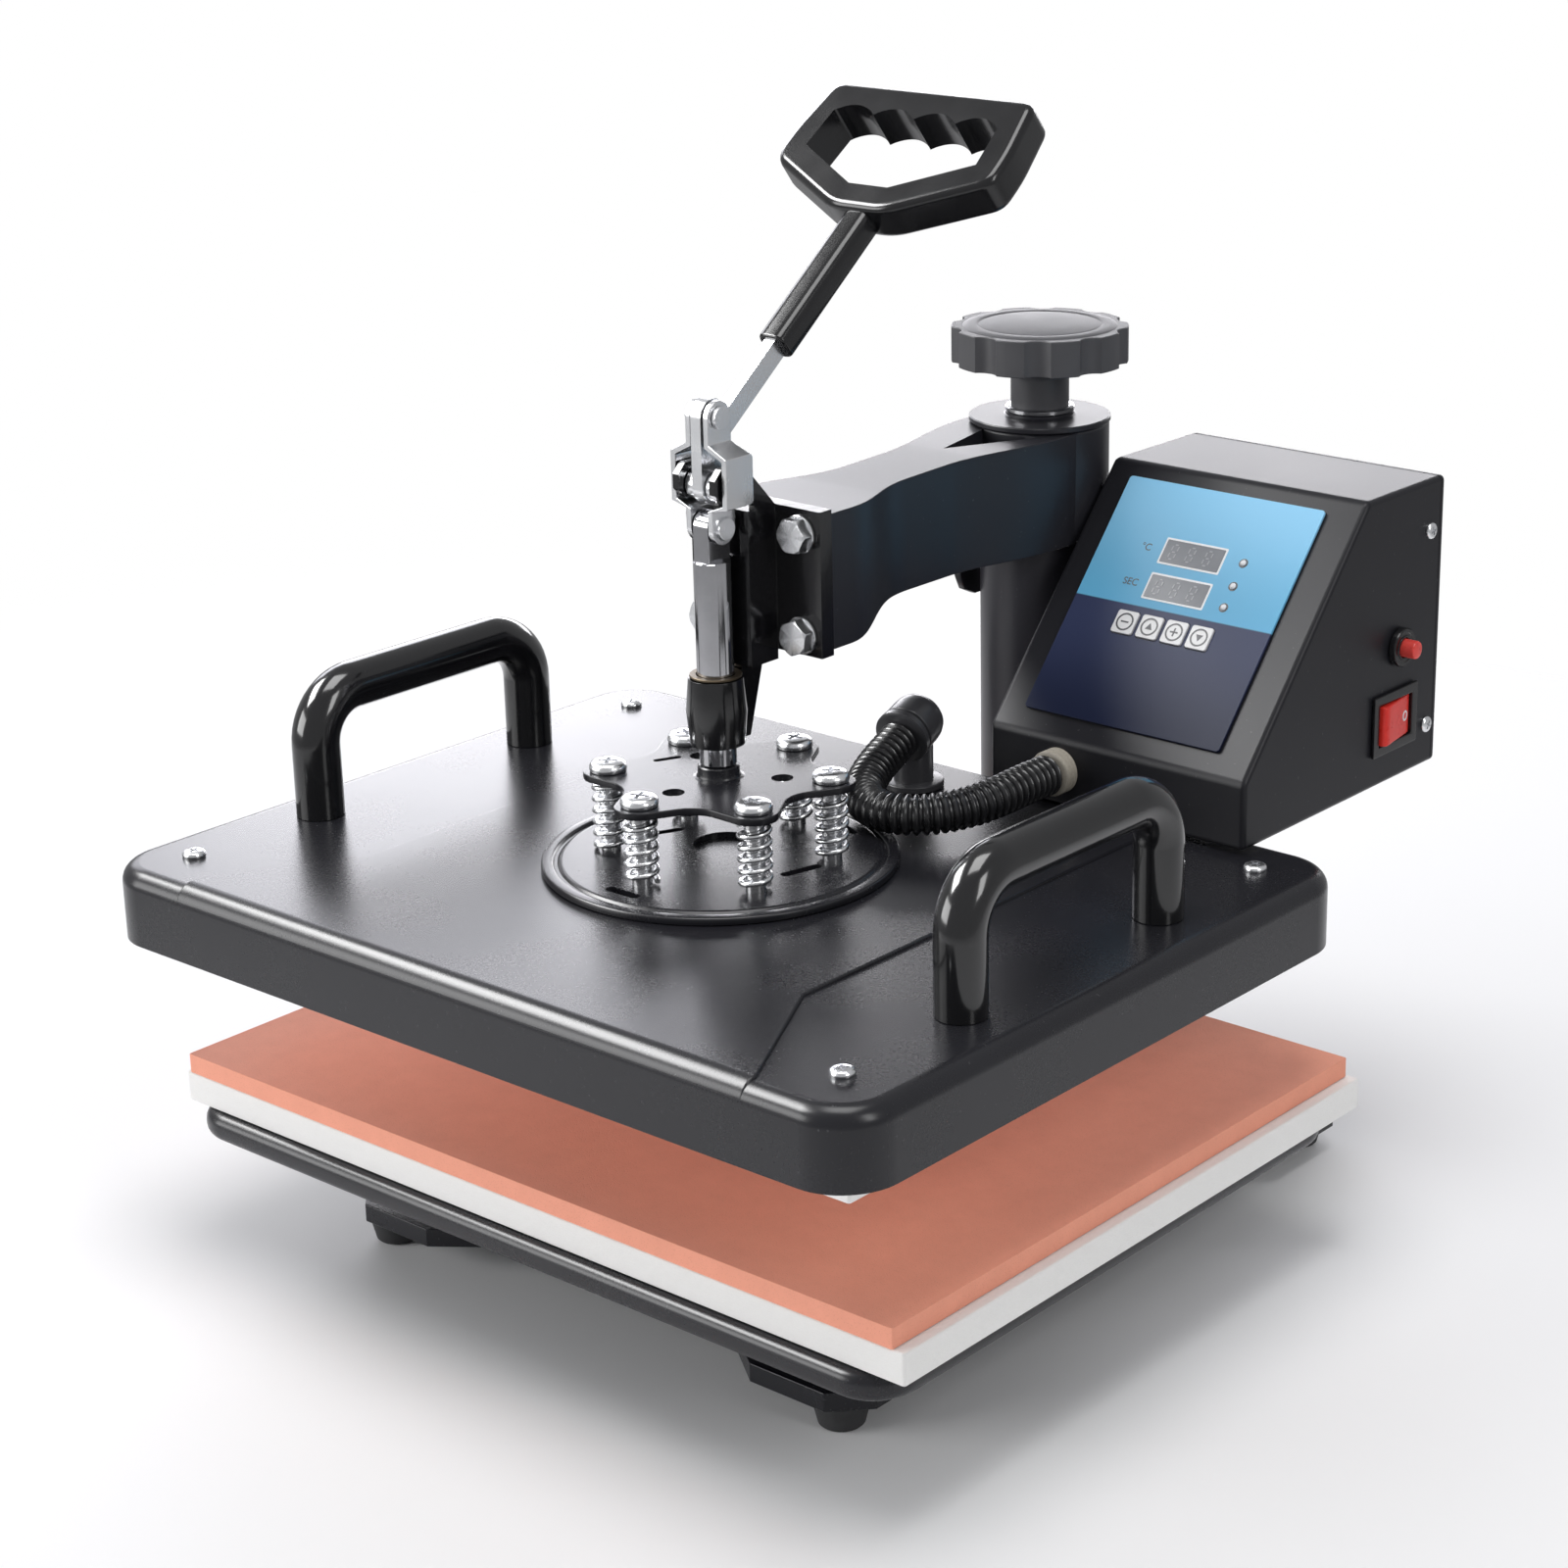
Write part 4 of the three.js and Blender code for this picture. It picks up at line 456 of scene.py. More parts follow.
def turn(profile, steps=64, at=(0, 0, 0), toward=UP, into=None):
    """Pairs of radius and height spun round the Z axis, leaned toward a direction and moved."""
    bm = bmesh.new() if into is None else into
    before = set(bm.verts)
    verts = [bm.verts.new((radius, 0, height)) for radius, height in profile]
    edges = [bm.edges.new(pair) for pair in zip(verts, verts[1:])]
    bmesh.ops.spin(bm, geom=verts + edges, cent=(0, 0, 0), axis=UP, angle=FULL, steps=steps, use_merge=True)
    grown = [vert for vert in bm.verts if vert not in before]
    bmesh.ops.transform(bm, matrix=Matrix.Translation(at) @ leaning(toward), verts=grown)
    bmesh.ops.remove_doubles(bm, verts=grown, dist=1e-4)
    return bm


def bar(radius, low, high, steps, x=0, y=0):
    """A plain round bar standing at x and y."""
    return turn([(0, low), (radius, low), (radius, high), (0, high)], steps, (x, y, 0))


def ring(bm, x, y, outer, inner, low, high, steps=40):
    """Adds a flat ring round x and y."""
    turn([(inner, low), (outer, low), (outer, high), (inner, high), (inner, low)], steps, (x, y, 0), into=bm)


def slab(outline, low, high, corner=0.0, corner_steps=8, rim=0.0, rim_steps=4, top_only=False, into=None):
    """A plate from an outline in x and y: its upright edges rounded by corner, its rims by rim."""
    bm = bmesh.new() if into is None else into
    foot = [bm.verts.new((x, y, low)) for x, y in outline]
    head = only_verts(bmesh.ops.extrude_face_region(bm, geom=[bm.faces.new(foot)])["geom"])
    bmesh.ops.translate(bm, verts=head, vec=(0, 0, high - low))
    body = {*foot, *head}
    if corner:
        upright = [edge for vert in foot for edge in vert.link_edges if edge.other_vert(vert) in head]
        fresh = bevelled(bm, upright, corner, corner_steps)
        body = {vert for vert in body if vert.is_valid} | set(fresh)
    if rim:
        levels = (high,) if top_only else (low, high)
        own = [edge for edge in bm.edges if body.issuperset(edge.verts)]
        rims = [edge for edge in own if any(level_at(edge, level) for level in levels)]
        bevelled(bm, rims, rim, rim_steps)
    return bm


def rectangle(x0, x1, y0, y1):
    """An outline from its sides."""
    return [(x0, y0), (x1, y0), (x1, y1), (x0, y1)]


def centred(x, y, half_width, half_height):
    """A rectangle round its middle."""
    return rectangle(x - half_width, x + half_width, y - half_height, y + half_height)


def footprint(low, high):
    """The rectangle that a box stands on."""
    return rectangle(low.x, high.x, low.y, high.y)


def mirrored(right):
    """An outline from its right half, drawn from the front to the rear."""
    return [*right, *[(-x, y) for x, y in reversed(right)]]


def polar(radius, degrees, x=0, y=0):
    """The point at a radius and an angle from x and y."""
    angle = math.radians(degrees)
    return x + radius * math.cos(angle), y + radius * math.sin(angle)


def arc(x, y, radius, start, end, steps):
    """Points on an arc round x and y; angles in degrees."""
    return [polar(radius, start + (end - start) * i / steps, x, y) for i in range(steps + 1)]


def curve_through(a, b, c, d, steps):
    """Points on a cubic Bezier curve from a to d, without a itself."""
    points = []
    for i in range(1, steps + 1):
        t = i / steps
        u = 1 - t
        weights = (u**3, 3 * u * u * t, 3 * u * t * t, t**3)
        points.append(tuple(sum(w * p for w, p in zip(weights, axis)) for axis in zip(a, b, c, d)))
    return points


def rounded_outline(points, radius, steps=5):
    """An outline with each corner replaced by a curve that starts so far from it."""
    result = []
    for i, point in enumerate(points):
        here = Vector(point)
        before = Vector(points[i - 1]) - here
        after = Vector(points[(i + 1) % len(points)]) - here
        reach = min(radius, before.length / 2.2, after.length / 2.2)
        a = here + before.normalized() * reach
        b = here + after.normalized() * reach
        for k in range(steps + 1):
            t = k / steps
            result.append(tuple((1 - t) ** 2 * a + 2 * t * (1 - t) * here + t * t * b))
    return result


def sharp_edges(bm, degrees, keep=lambda edge: True):
    """The edges where two faces meet at more than so many degrees."""
    limit = math.radians(degrees)
    return [e for e in bm.edges if len(e.link_faces) == 2 and e.calc_face_angle(0) > limit and keep(e)]


def round_edges(bm, width, segments, sharper_than=32.0, keep=lambda edge: True):
    """Rounds every edge sharper than so many degrees."""
    bevelled(bm, sharp_edges(bm, sharper_than, keep), width, segments)


def whole_faces(bm, gap=0.01, degrees=0.5):
    """Merges doubles and makes flat faces whole again."""
    bmesh.ops.remove_doubles(bm, verts=bm.verts, dist=gap)
    bmesh.ops.dissolve_limit(bm, angle_limit=math.radians(degrees), verts=bm.verts, edges=bm.edges)


def hollowed(bm, floor, wall, deep):
    """Sinks the faces that look down, all but a wall round them."""
    under = [face for face in bm.faces if face.normal.z < -0.99 or level_at(face, floor)]
    bmesh.ops.inset_region(bm, faces=under, thickness=wall, depth=0)
    bmesh.ops.translate(bm, verts=list({vert for face in under for vert in face.verts}), vec=(0, 0, deep))


def as_object(name, bm):
    """An object in the scene from a bmesh, which is used up."""
    mesh = bpy.data.meshes.new(name)
    bm.to_mesh(mesh)
    bm.free()
    piece = bpy.data.objects.new(name, mesh)
    bpy.context.scene.collection.objects.link(piece)
    return piece


def carved(name, bm, *cutters, operation="DIFFERENCE"):
    """A bmesh with others cut out of it, or kept only inside them, as a new bmesh."""
    tools = []
    for form in (bm, *cutters):
        bmesh.ops.recalc_face_normals(form, faces=form.faces)
        tools.append(as_object(f"{name}_{len(tools)}", form))
    for tool in tools[1:]:
        cut = tools[0].modifiers.new(tool.name, "BOOLEAN")
        cut.operation = operation
        cut.solver = "EXACT"
        cut.object = tool
    bpy.context.view_layer.update()
    result = bmesh.new()
    result.from_object(tools[0], bpy.context.evaluated_depsgraph_get())
    for tool in tools:
        bpy.data.meshes.remove(tool.data)  # its object goes with it
    return result


def join_into(bm, other):
    """Adds another bmesh's faces to this one."""
    mesh = bpy.data.meshes.new("joined")
    bmesh.ops.recalc_face_normals(other, faces=other.faces)
    other.to_mesh(mesh)
    other.free()
    bm.from_mesh(mesh)
    bpy.data.meshes.remove(mesh)


def repeated(form, places, turns, toward=UP):
    """A form at each place, turned about its own axis by its angle in degrees and leaned."""
    pattern = bpy.data.meshes.new("pattern")
    form.to_mesh(pattern)
    form.free()
    result = bmesh.new()
    for place, angle in zip(places, turns):
        start = len(result.verts)
        result.from_mesh(pattern)
        result.verts.ensure_lookup_table()
        matrix = Matrix.Translation(place) @ leaning(toward) @ spun(angle)
        bmesh.ops.transform(result, matrix=matrix, verts=result.verts[start:])
    bpy.data.meshes.remove(pattern)
    return result


def copy_of(node):
    """A node's solid as one merged bmesh in the drawing's millimetres."""
    bm = bmesh.new()
    bm.from_mesh(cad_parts[node].data)
    moved(bm, FROM_FRAME)
    whole_faces(bm, 0.005, 0.6)
    return bm


def made(name, bm, body, look, replaces=(), sharp=40.0, weighted=True):
    """Finishes a piece: places it in the shared frame, shades it, gives it its finish and its body."""
    bmesh.ops.recalc_face_normals(bm, faces=bm.faces)
    moved(bm, TO_FRAME)
    limit = math.radians(sharp)
    for face in bm.faces:
        face.smooth = True
    for edge in bm.edges:
        edge.smooth = len(edge.link_faces) != 2 or edge.calc_face_angle(0) < limit
    piece = as_object(name, bm)
    material, slot = FINISHES[look]
    piece.data.materials.append(material)
    if weighted:
        modifier = piece.modifiers.new("even_shading", "WEIGHTED_NORMAL")
        modifier.keep_sharp = True
        modifier.weight = 80
    if body:
        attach(piece, body)
    if replaces:
        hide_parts(*replaces)
    return piece


def dressed(node, body, look, width, segments=1, sharper_than=32.0):
    """A node's own form with its edges rounded."""
    bm = copy_of(node)
    if width:
        round_edges(bm, width, segments, sharper_than)
    made(f"{node}_formed", bm, body, look, (node,))


# Settings


def length_property(name, description, default):
    """A length that the user can change, in metres."""
    return FloatProperty(name=name, description=description, default=default, subtype="DISTANCE")


def colour_property(name, description, default):
    """A colour that the user can change."""
    return FloatVectorProperty(name=name, description=description, default=default, subtype="COLOR")


class PressSizes(bpy.types.PropertyGroup):
    """Sizes and counts of the pieces"""

    cover_corner: length_property("Cover corner", "Radius of the cover's corners", 0.024)
    cover_edge: length_property("Cover edge", "Radius of the cover's top edge", 0.0075)
    grip_depth: length_property("Grip depth", "Thickness of the hand grip", 0.017)
    wire: length_property("Spring wire", "Thickness of the springs' wire", 0.0024)
    turns: FloatProperty(name="Spring turns", description="Turns of each spring", default=5.5)
    knob_lobes: IntProperty(name="Knob lobes", description="Lobes round the pressure knob", default=10)
    hose_ribs: IntProperty(name="Hose ribs", description="Ribs along the platen's hose", default=42)


class PressColours(bpy.types.PropertyGroup):
    """Colours of the finishes"""

    coat: colour_property("Powder coat", "Colour of the satin coat", (0.011, 0.011, 0.014))
    gloss: colour_property("Enamel", "Colour of the glossy enamel", (0.006, 0.006, 0.007))
    post: colour_property("Post", "Colour of the post", (0.03, 0.029, 0.036))
    pad: colour_property("Silicone pad", "Colour of the silicone pad", (0.9, 0.37, 0.25))
    sky: colour_property("Panel top", "Colour of the panel's upper part", (0.15, 0.5, 0.78))
    navy: colour_property("Panel foot", "Colour of the panel's lower part", (0.009, 0.013, 0.036))
    rocker: colour_property("Rocker", "Colour of the rocker switch", (0.62, 0.02, 0.012))
    breaker: colour_property("Breaker", "Colour of the breaker's button", (0.66, 0.06, 0.05))


class StageSettings(bpy.types.PropertyGroup):
    """The camera's lens and the lamps"""

    lens: FloatProperty(name="Lens", description="Focal length", default=76.2, unit="CAMERA")
    shift_x: FloatProperty(name="Shift across", description="Camera shift to the right", default=-0.124)
    shift_y: FloatProperty(name="Shift up", description="Camera shift upwards", default=-0.017)
    light: FloatProperty(
        name="Light", description="Share of the lamps' power", default=1.0, min=0.0, subtype="FACTOR"
    )


def size(name):
    """A length from the user's sizes, in the drawing's millimetres."""
    return getattr(bpy.context.scene.press_sizes, name) * METRE


# Places that several pieces share

POST = middle_of("post")
CASE_LOW, CASE_HIGH = edges_of("control_case")
# Height of the case's front edge, and where its slope ends at the top
LIP = 201.0
SLOPE_REAR = 219.5
SLOPE = math.atan2(CASE_HIGH.z - LIP, SLOPE_REAR - CASE_LOW.y)
# Lays a form drawn flat, with x across and y up, onto the case's slope
ON_SLOPE = Matrix.Translation((0, CASE_LOW.y, LIP)) @ Matrix.Rotation(SLOPE, 4, "X")
# The lever's lean, its pivot, and how far out from the pivot the grip's middle lies
LEVER_LEAN = math.radians(38)
LEVER_PIVOT = (0, 0, 325.5)
LEVER_OFFSET = (0, 0, 13.4)
# Lays a form drawn flat, with x across and y up the lever, onto the lever
AT_PIVOT = Matrix.Translation(LEVER_PIVOT) @ Matrix.Rotation(LEVER_LEAN, 4, "X")
ON_LEVER = AT_PIVOT @ Matrix.Translation(LEVER_OFFSET)
SPRING_CIRCLE = 45.0
SPRING_ANGLES = [-90 + 60 * k for k in range(6)]
SPRING_PLACES = [polar(SPRING_CIRCLE, angle) for angle in SPRING_ANGLES]


# Camera

CAMERA_PLACE = (854.2, -904.4, 639.6)
CAMERA_AZIMUTH = 38.63
CAMERA_DOWN = 18.92
CAMERA_ROLL = -0.26


class PRESS_OT_camera(bpy.types.Operator):
    """Places the camera where the photograph was taken"""

    bl_idname = "press.camera"
    bl_label = "Camera"

    def execute(self, context):
        stage = context.scene.press_stage
        data = bpy.data.cameras.new("photo_camera")
        data.sensor_width = 36.0
        data.lens = stage.lens
        data.shift_x = stage.shift_x
        data.shift_y = stage.shift_y
        data.clip_start = 0.05
        data.clip_end = 30.0
        camera = bpy.data.objects.new("photo_camera", data)
        context.scene.collection.objects.link(camera)
        level = math.cos(math.radians(CAMERA_DOWN))
        across, ahead = polar(level, 90 + CAMERA_AZIMUTH)
        forward = Vector((across, ahead, -math.sin(math.radians(CAMERA_DOWN))))
        aimed = forward.to_track_quat("-Z", "Y").to_matrix().to_4x4()
        camera.matrix_world = Matrix.Translation(in_frame(*CAMERA_PLACE)) @ aimed @ spun(CAMERA_ROLL)
        context.scene.camera = camera
        return {"FINISHED"}


# Hose

# Its middle line, in metres from the press axis and the floor, as the solids have it
HOSE_ROUTE = [
    (0.00505, 0.10572, 0.19592), (0.00653, 0.09749, 0.19356), (0.00799, 0.08937, 0.19122),
    (0.009, 0.0846, 0.1896), (0.0112, 0.0778, 0.1876), (0.0145, 0.0714, 0.1861), (0.019, 0.0655, 0.1852),
    (0.0247, 0.0606, 0.1847), (0.0314, 0.0576, 0.1846), (0.0387, 0.0569, 0.1846), (0.0459, 0.0585, 0.1846),
    (0.0522, 0.0624, 0.1847), (0.0572, 0.068, 0.185), (0.061, 0.0745, 0.1854), (0.064, 0.0813, 0.186),
    (0.0661, 0.0883, 0.1867), (0.0673, 0.0956, 0.1873), (0.068, 0.1082, 0.188), (0.068, 0.1168, 0.188),
    (0.068, 0.1254, 0.188),
]
HOSE_BORE = 5.4
HOSE_VALLEY = 6.8
# Share of one rib's length, and the hose's radius there
RIB = (
    (0.0, HOSE_VALLEY), (0.1, 6.9), (0.2, 7.7), (0.33, 8.35),
    (0.5, 8.6), (0.67, 8.35), (0.8, 7.7), (0.9, 6.9),
)


def smooth_line(points, per_span=8):
    """A Catmull-Rom line through points."""
    vectors = [Vector(p) for p in points]
    ends = [vectors[0] * 2 - vectors[1], *vectors, vectors[-1] * 2 - vectors[-2]]
    line = []
    for a, b, c, d in zip(ends, ends[1:], ends[2:], ends[3:]):
        for i in range(per_span):
            t = i / per_span
            bend = (2 * a - 5 * b + 4 * c - d) * t * t
            line.append(0.5 * (2 * b + (c - a) * t + bend + (3 * b - a - 3 * c + d) * t**3))
    return [*line, vectors[-1]]


def bend_along(bm, line):
    """Lays a straight form that runs up Z from 0 to 1 along a line, keeping its girth. Gives its length."""
    lengths = [0.0]
    for a, b in zip(line, line[1:]):
        lengths.append(lengths[-1] + (b - a).length)
    for vert in bm.verts:
        distance = min(max(vert.co.z, 0), 1) * lengths[-1]
        index = next((i for i, so_far in enumerate(lengths[1:]) if so_far >= distance - 1e-9), len(line) - 2)
        part = (distance - lengths[index]) / (lengths[index + 1] - lengths[index])
        place = line[index].lerp(line[index + 1], part)
        along = (line[min(index + 2, len(line) - 1)] - line[max(index - 1, 0)]).normalized()
        across = along.cross(UP).normalized()
        vert.co = place + across * vert.co.x + across.cross(along) * vert.co.y
    return lengths[-1]


class PRESS_OT_hose(bpy.types.Operator):
    """Makes the ribbed hose between the platen's gland and the control box"""

    bl_idname = "press.hose"
    bl_label = "Ribbed hose"

    def execute(self, context):
        ribs = context.scene.press_sizes.hose_ribs
        crests = [(radius, rib / ribs + share / ribs) for rib in range(ribs) for share, radius in RIB]
        bm = turn([(HOSE_BORE, 0.0), *crests, (HOSE_VALLEY, 1.0), (HOSE_BORE, 1.0)], 28)
        line = [place * METRE for place in smooth_line(HOSE_ROUTE)]
        run = bend_along(bm, line)
        hose = made("ribbed_hose", bm, None, "conduit", ("platen_hose",), weighted=False)
        path = [tuple(TO_FRAME @ point) for point in line]
        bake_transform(hose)
        return {"FINISHED"}


# Base


class PRESS_OT_base(bpy.types.Operator):
    """Makes the base frame, its feet and the post"""

    bl_idname = "press.base"
    bl_label = "Base"

    def execute(self, context):
        dressed("base_frame", "base", "coat", 1.2, 3)
        for foot in [f"foot_{end}_{side}" for end in ("front", "rear") for side in ("left", "right")]:
            top = edges_of(foot)[1].z
            middle = middle_of(foot)
            profile = [
                (0, 0.6), (6, 0.6), (6.6, 0), (8.4, 0), (9.1, 0.7), (11.2, 9.4), (11.5, 10.4), (11.3, 10.7),
                (5.5, 10.7), (5.5, top), (0, top),
            ]
            made(f"{foot}_turned", turn(profile, 48, (middle.x, middle.y, 0)), "base", "rubber", (foot,))
        low, high = edges_of("post")
        bore, tube, flange, tall = 22, 26, 44, high.z - low.z
        profile = [
            (bore, 0), (flange - 0.5, 0), (flange, 0.5), (flange, 7.3), (flange - 0.8, 8), (tube + 2.5, 8),
            (tube + 1, 8.8), (tube, 10.5), (tube, tall - 0.8), (tube - 0.8, tall), (bore, tall), (bore, 0),
        ]
        made("post_turned", turn(profile, 96, (POST.x, POST.y, low.z)), "base", "post", ("post",))
        dressed("post_nut", "base", "brass", 0.3)
        return {"FINISHED"}


class PRESS_OT_pads(bpy.types.Operator):
    """Makes the lower platen's tray and its two pads"""

    bl_idname = "press.pads"
    bl_label = "Lower platen and pads"

    def execute(self, context):
        low, high = edges_of("lower_platen")
        tray = slab(footprint(low, high), low.z, high.z, corner=20, corner_steps=10, rim=5.2, rim_steps=6)
        hollowed(tray, low.z, wall=4, deep=2)
        made("tray_rolled", tray, "base", "coat", ("lower_platen",))
        for node, name, look, corner, rim, steps in (
            ("base_pad", "felt_pad", "felt", 1.5, 0.9, 3),
            ("silicone_pad", "sponge_pad", "sponge", 0.8, 0.4, 2),
        ):
            low, high = edges_of(node)
            pad = slab(footprint(low, high), low.z, high.z, corner, steps, rim, steps)
            made(name, pad, "base", look, (node,))
        return {"FINISHED"}


# Upper platen


def pan_screw(head, height, shank, shank_end):
    """A pan-head screw standing up from z = 0, with a cross recess in its domed head."""
    profile = [(0, -shank_end), (shank, -shank_end), (shank, 0), (head * 0.96, 0)]
    dome = ((1, 0.25), (0.98, 0.5), (0.9, 0.78), (0.72, 0.94), (0.4, 1), (0, 1))
    profile += [(head * out, height * up) for out, up in dome]
    reach, half_width, deep = head * 0.52, head * 0.115, height * 0.55
    arms = ((reach, half_width), (half_width, reach))
    cutters = [slab(centred(0, 0, *arm), height - deep, height + 1) for arm in arms]
    return carved("screw", turn(profile, 40), *cutters)


class PRESS_OT_platen(bpy.types.Operator):
    """Makes the heated platen: cover with its raised field, heating plate and corner screws"""

    bl_idname = "press.platen"
    bl_label = "Heated platen"

    def execute(self, context):
        low, high = edges_of("platen_cover")
        rise = 1.2
        top = high.z - rise
        edge = size("cover_edge")
        corner = size("cover_corner")
        bm = slab(footprint(low, high), low.z, top, corner, 16, edge, 8, top_only=True)
        hollowed(bm, low.z, wall=1.6, deep=3)
        join_into(bm, self.raised_field(low, top, rise, edge))
        made("cover_pressed", bm, "platen", "coat", ("platen_cover",), 55.0)
        low, high = edges_of("heater_plate")
        thick = 4.6
        plate = slab(footprint(low, high), low.z, low.z + thick, 1.2, 3, rim=0.5, rim_steps=2)
        made("plate_milled", plate, "platen", "aluminium", ("heater_plate",))
        places = [(x, y, top) for x, y in ((-173, -124.5), (171, -124.5), (-171, 124.5), (172, 124.5))]
        screws = repeated(pan_screw(4.75, 2.6, 2, 3), places, (12, 50, 33, 75))
        made("cover_screws", screws, "platen", "zinc")
        return {"FINISHED"}

    def raised_field(self, low, top, rise, edge):
        """The field that stands above the cover: it rolls down in front and narrows behind."""
        skirt, rear = 7, 145
        crest = edge + rise
        roll = arc(low.y + crest, top + rise - crest, crest, 172, 90, 12)
        section = [(low.y + 3, top - skirt), *roll, (rear, top + rise), (rear, top - skirt)]
        plan = mirrored([(150, -160), (150, -145), (116, -82), (116, 150)])
        field = moved(slab(section, -160, 160), ALONG_X)
        field = carved("field", field, slab(plan, 0, top + 20), operation="INTERSECT")
        whole_faces(field)
        above = top - skirt + 0.2
        round_edges(field, 1.1, 4, sharper_than=50, keep=lambda e: all(v.co.z > above for v in e.verts))
        return field


def slot(x, y, length, width, degrees, low, high, corner, steps):
    """A slot's cutter, its ends rounded by corner."""
    cutter = slab(centred(0, 0, length / 2, width / 2), low, high, corner, steps)
    return moved(cutter, Matrix.Translation((x, y, 0)) @ spun(degrees))


class PRESS_OT_disc(bpy.types.Operator):
    """Makes the spring disc and the six long screws"""

    bl_idname = "press.disc"
    bl_label = "Spring disc and screws"

    def execute(self, context):
        low, high = edges_of("spring_disc")
        base, top = low.z, high.z
        profile = [
            (0, base), (71.2, base), (71.5, base + 0.4), (71.5, top - 0.9), (71.1, top - 0.3), (70.4, top),
            (67.4, top), (66.8, top - 0.3), (66.2, top - 1.1), (65.0, top - 1.1), (64.2, top - 0.4),
            (63.6, top - 0.1), (62.8, top), (0, top),
        ]
        slots = ((38.5, 4.5, 19, 4.5, 75), (-34, 4, 15, 4, 64), (0, -56, 17, 4.5, 0), (20, 52, 17, 4.5, -20))
        cutters = [slot(*place, base - 2, top + 2, place[3] / 2.02, 5) for place in slots]
        disc = carved("disc", turn(profile, 120), *cutters, bar(13, top - 2.4, top + 2, 48, -6, 9))
        made("disc_pressed", disc, "platen", "coat", ("spring_disc",))
        seat = edges_of("spring_plate")[0].z + 3.3
        screw = pan_screw(7.6, 4.0, 4.0, seat - base - 0.3)
        screws = repeated(screw, [(*place, seat) for place in SPRING_PLACES], (20, 75, 40, 5, 60, 33))
        nodes = [f"spring_screw_{number}" for number in range(1, 7)]
        made("spring_screws", screws, "platen", "zinc", nodes)
        return {"FINISHED"}


class PRESS_OT_springs(bpy.types.Operator):
    """Winds the six springs, each one unbroken wire"""

    bl_idname = "press.springs"
    bl_label = "Springs"

    def execute(self, context):
        coil_radius, steps_per_turn, float_travel = 7.1, 28, 4
        wire = size("wire") / 2
        turns = context.scene.press_sizes.turns
        steps = round(turns * steps_per_turn)
        for number, (x, y) in enumerate(SPRING_PLACES, 1):
            low, high = edges_of(f"spring_{number}")
            tall = high.z - low.z
            bm = bmesh.new()
            bmesh.ops.create_circle(bm, cap_ends=True, radius=wire, segments=10)
            moved(bm, Matrix.Translation((coil_radius - wire, 0, 0)) @ ALONG_Y)
            bmesh.ops.spin(
                bm, geom=[*bm.verts, *bm.edges, *bm.faces], cent=(0, 0, 0), axis=UP,
                dvec=(0, 0, (tall - 2 * wire) / steps), angle=turns * FULL, steps=steps,
            )
            moved(bm, Matrix.Translation((x, y, low.z + wire)) @ spun(35 * number))
            spring = made(
                f"spring_wound_{number}", bm, "platen", "zinc", (f"spring_{number}",), 60, weighted=False
            )
            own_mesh(spring)
        return {"FINISHED"}


def bent_tube(radius, front, rear, top, bottom, bend, segments=32):
    """An upright staple of round tube in the plane of y and z, standing on its two legs."""
    bm = bmesh.new()
    circle = bmesh.ops.create_circle(bm, cap_ends=False, radius=radius, segments=segments)["verts"]
    bmesh.ops.translate(bm, verts=circle, vec=(0, front, bottom))
    edges = list({edge for vert in circle for edge in vert.link_edges})
    rise, run = top - bend - bottom, rear - front - 2 * bend
    stages = (
        ("run", (0, 0, rise)), ("bend", (0, front + bend, top - bend)), ("run", (0, run, 0)),
        ("bend", (0, rear - bend, top - bend)), ("run", (0, 0, -rise)),
    )
    for kind, value in stages:
        if kind == "run":
            verts = only_verts(bmesh.ops.extrude_edge_only(bm, edges=edges)["geom"])
            bmesh.ops.translate(bm, verts=verts, vec=value)
        else:
            last = bmesh.ops.spin(bm, geom=edges, cent=value, axis=(-1, 0, 0), angle=QUARTER, steps=12)
            verts = only_verts(last["geom_last"])
        edges = [e for e in {e for v in verts for e in v.link_edges} if all(v in verts for v in e.verts)]
    bmesh.ops.holes_fill(bm, edges=[e for e in bm.edges if e.is_boundary], sides=0)
    return bm


class PRESS_OT_handles(bpy.types.Operator):
    """Bends the two side handles"""

    bl_idname = "press.handles"
    bl_label = "Side handles"

    def execute(self, context):
        radius, bend = 10.0, 21.0
        for node in ("handle_left", "handle_right"):
            low, high = edges_of(node)
            tube = bent_tube(radius, low.y + radius, high.y - radius, high.z - radius, low.z, bend)
            moved(tube, Matrix.Translation((middle_of(node).x, 0, 0)))
            made(f"{node}_bent", tube, "platen", "gloss", (node,), 50.0)
        return {"FINISHED"}


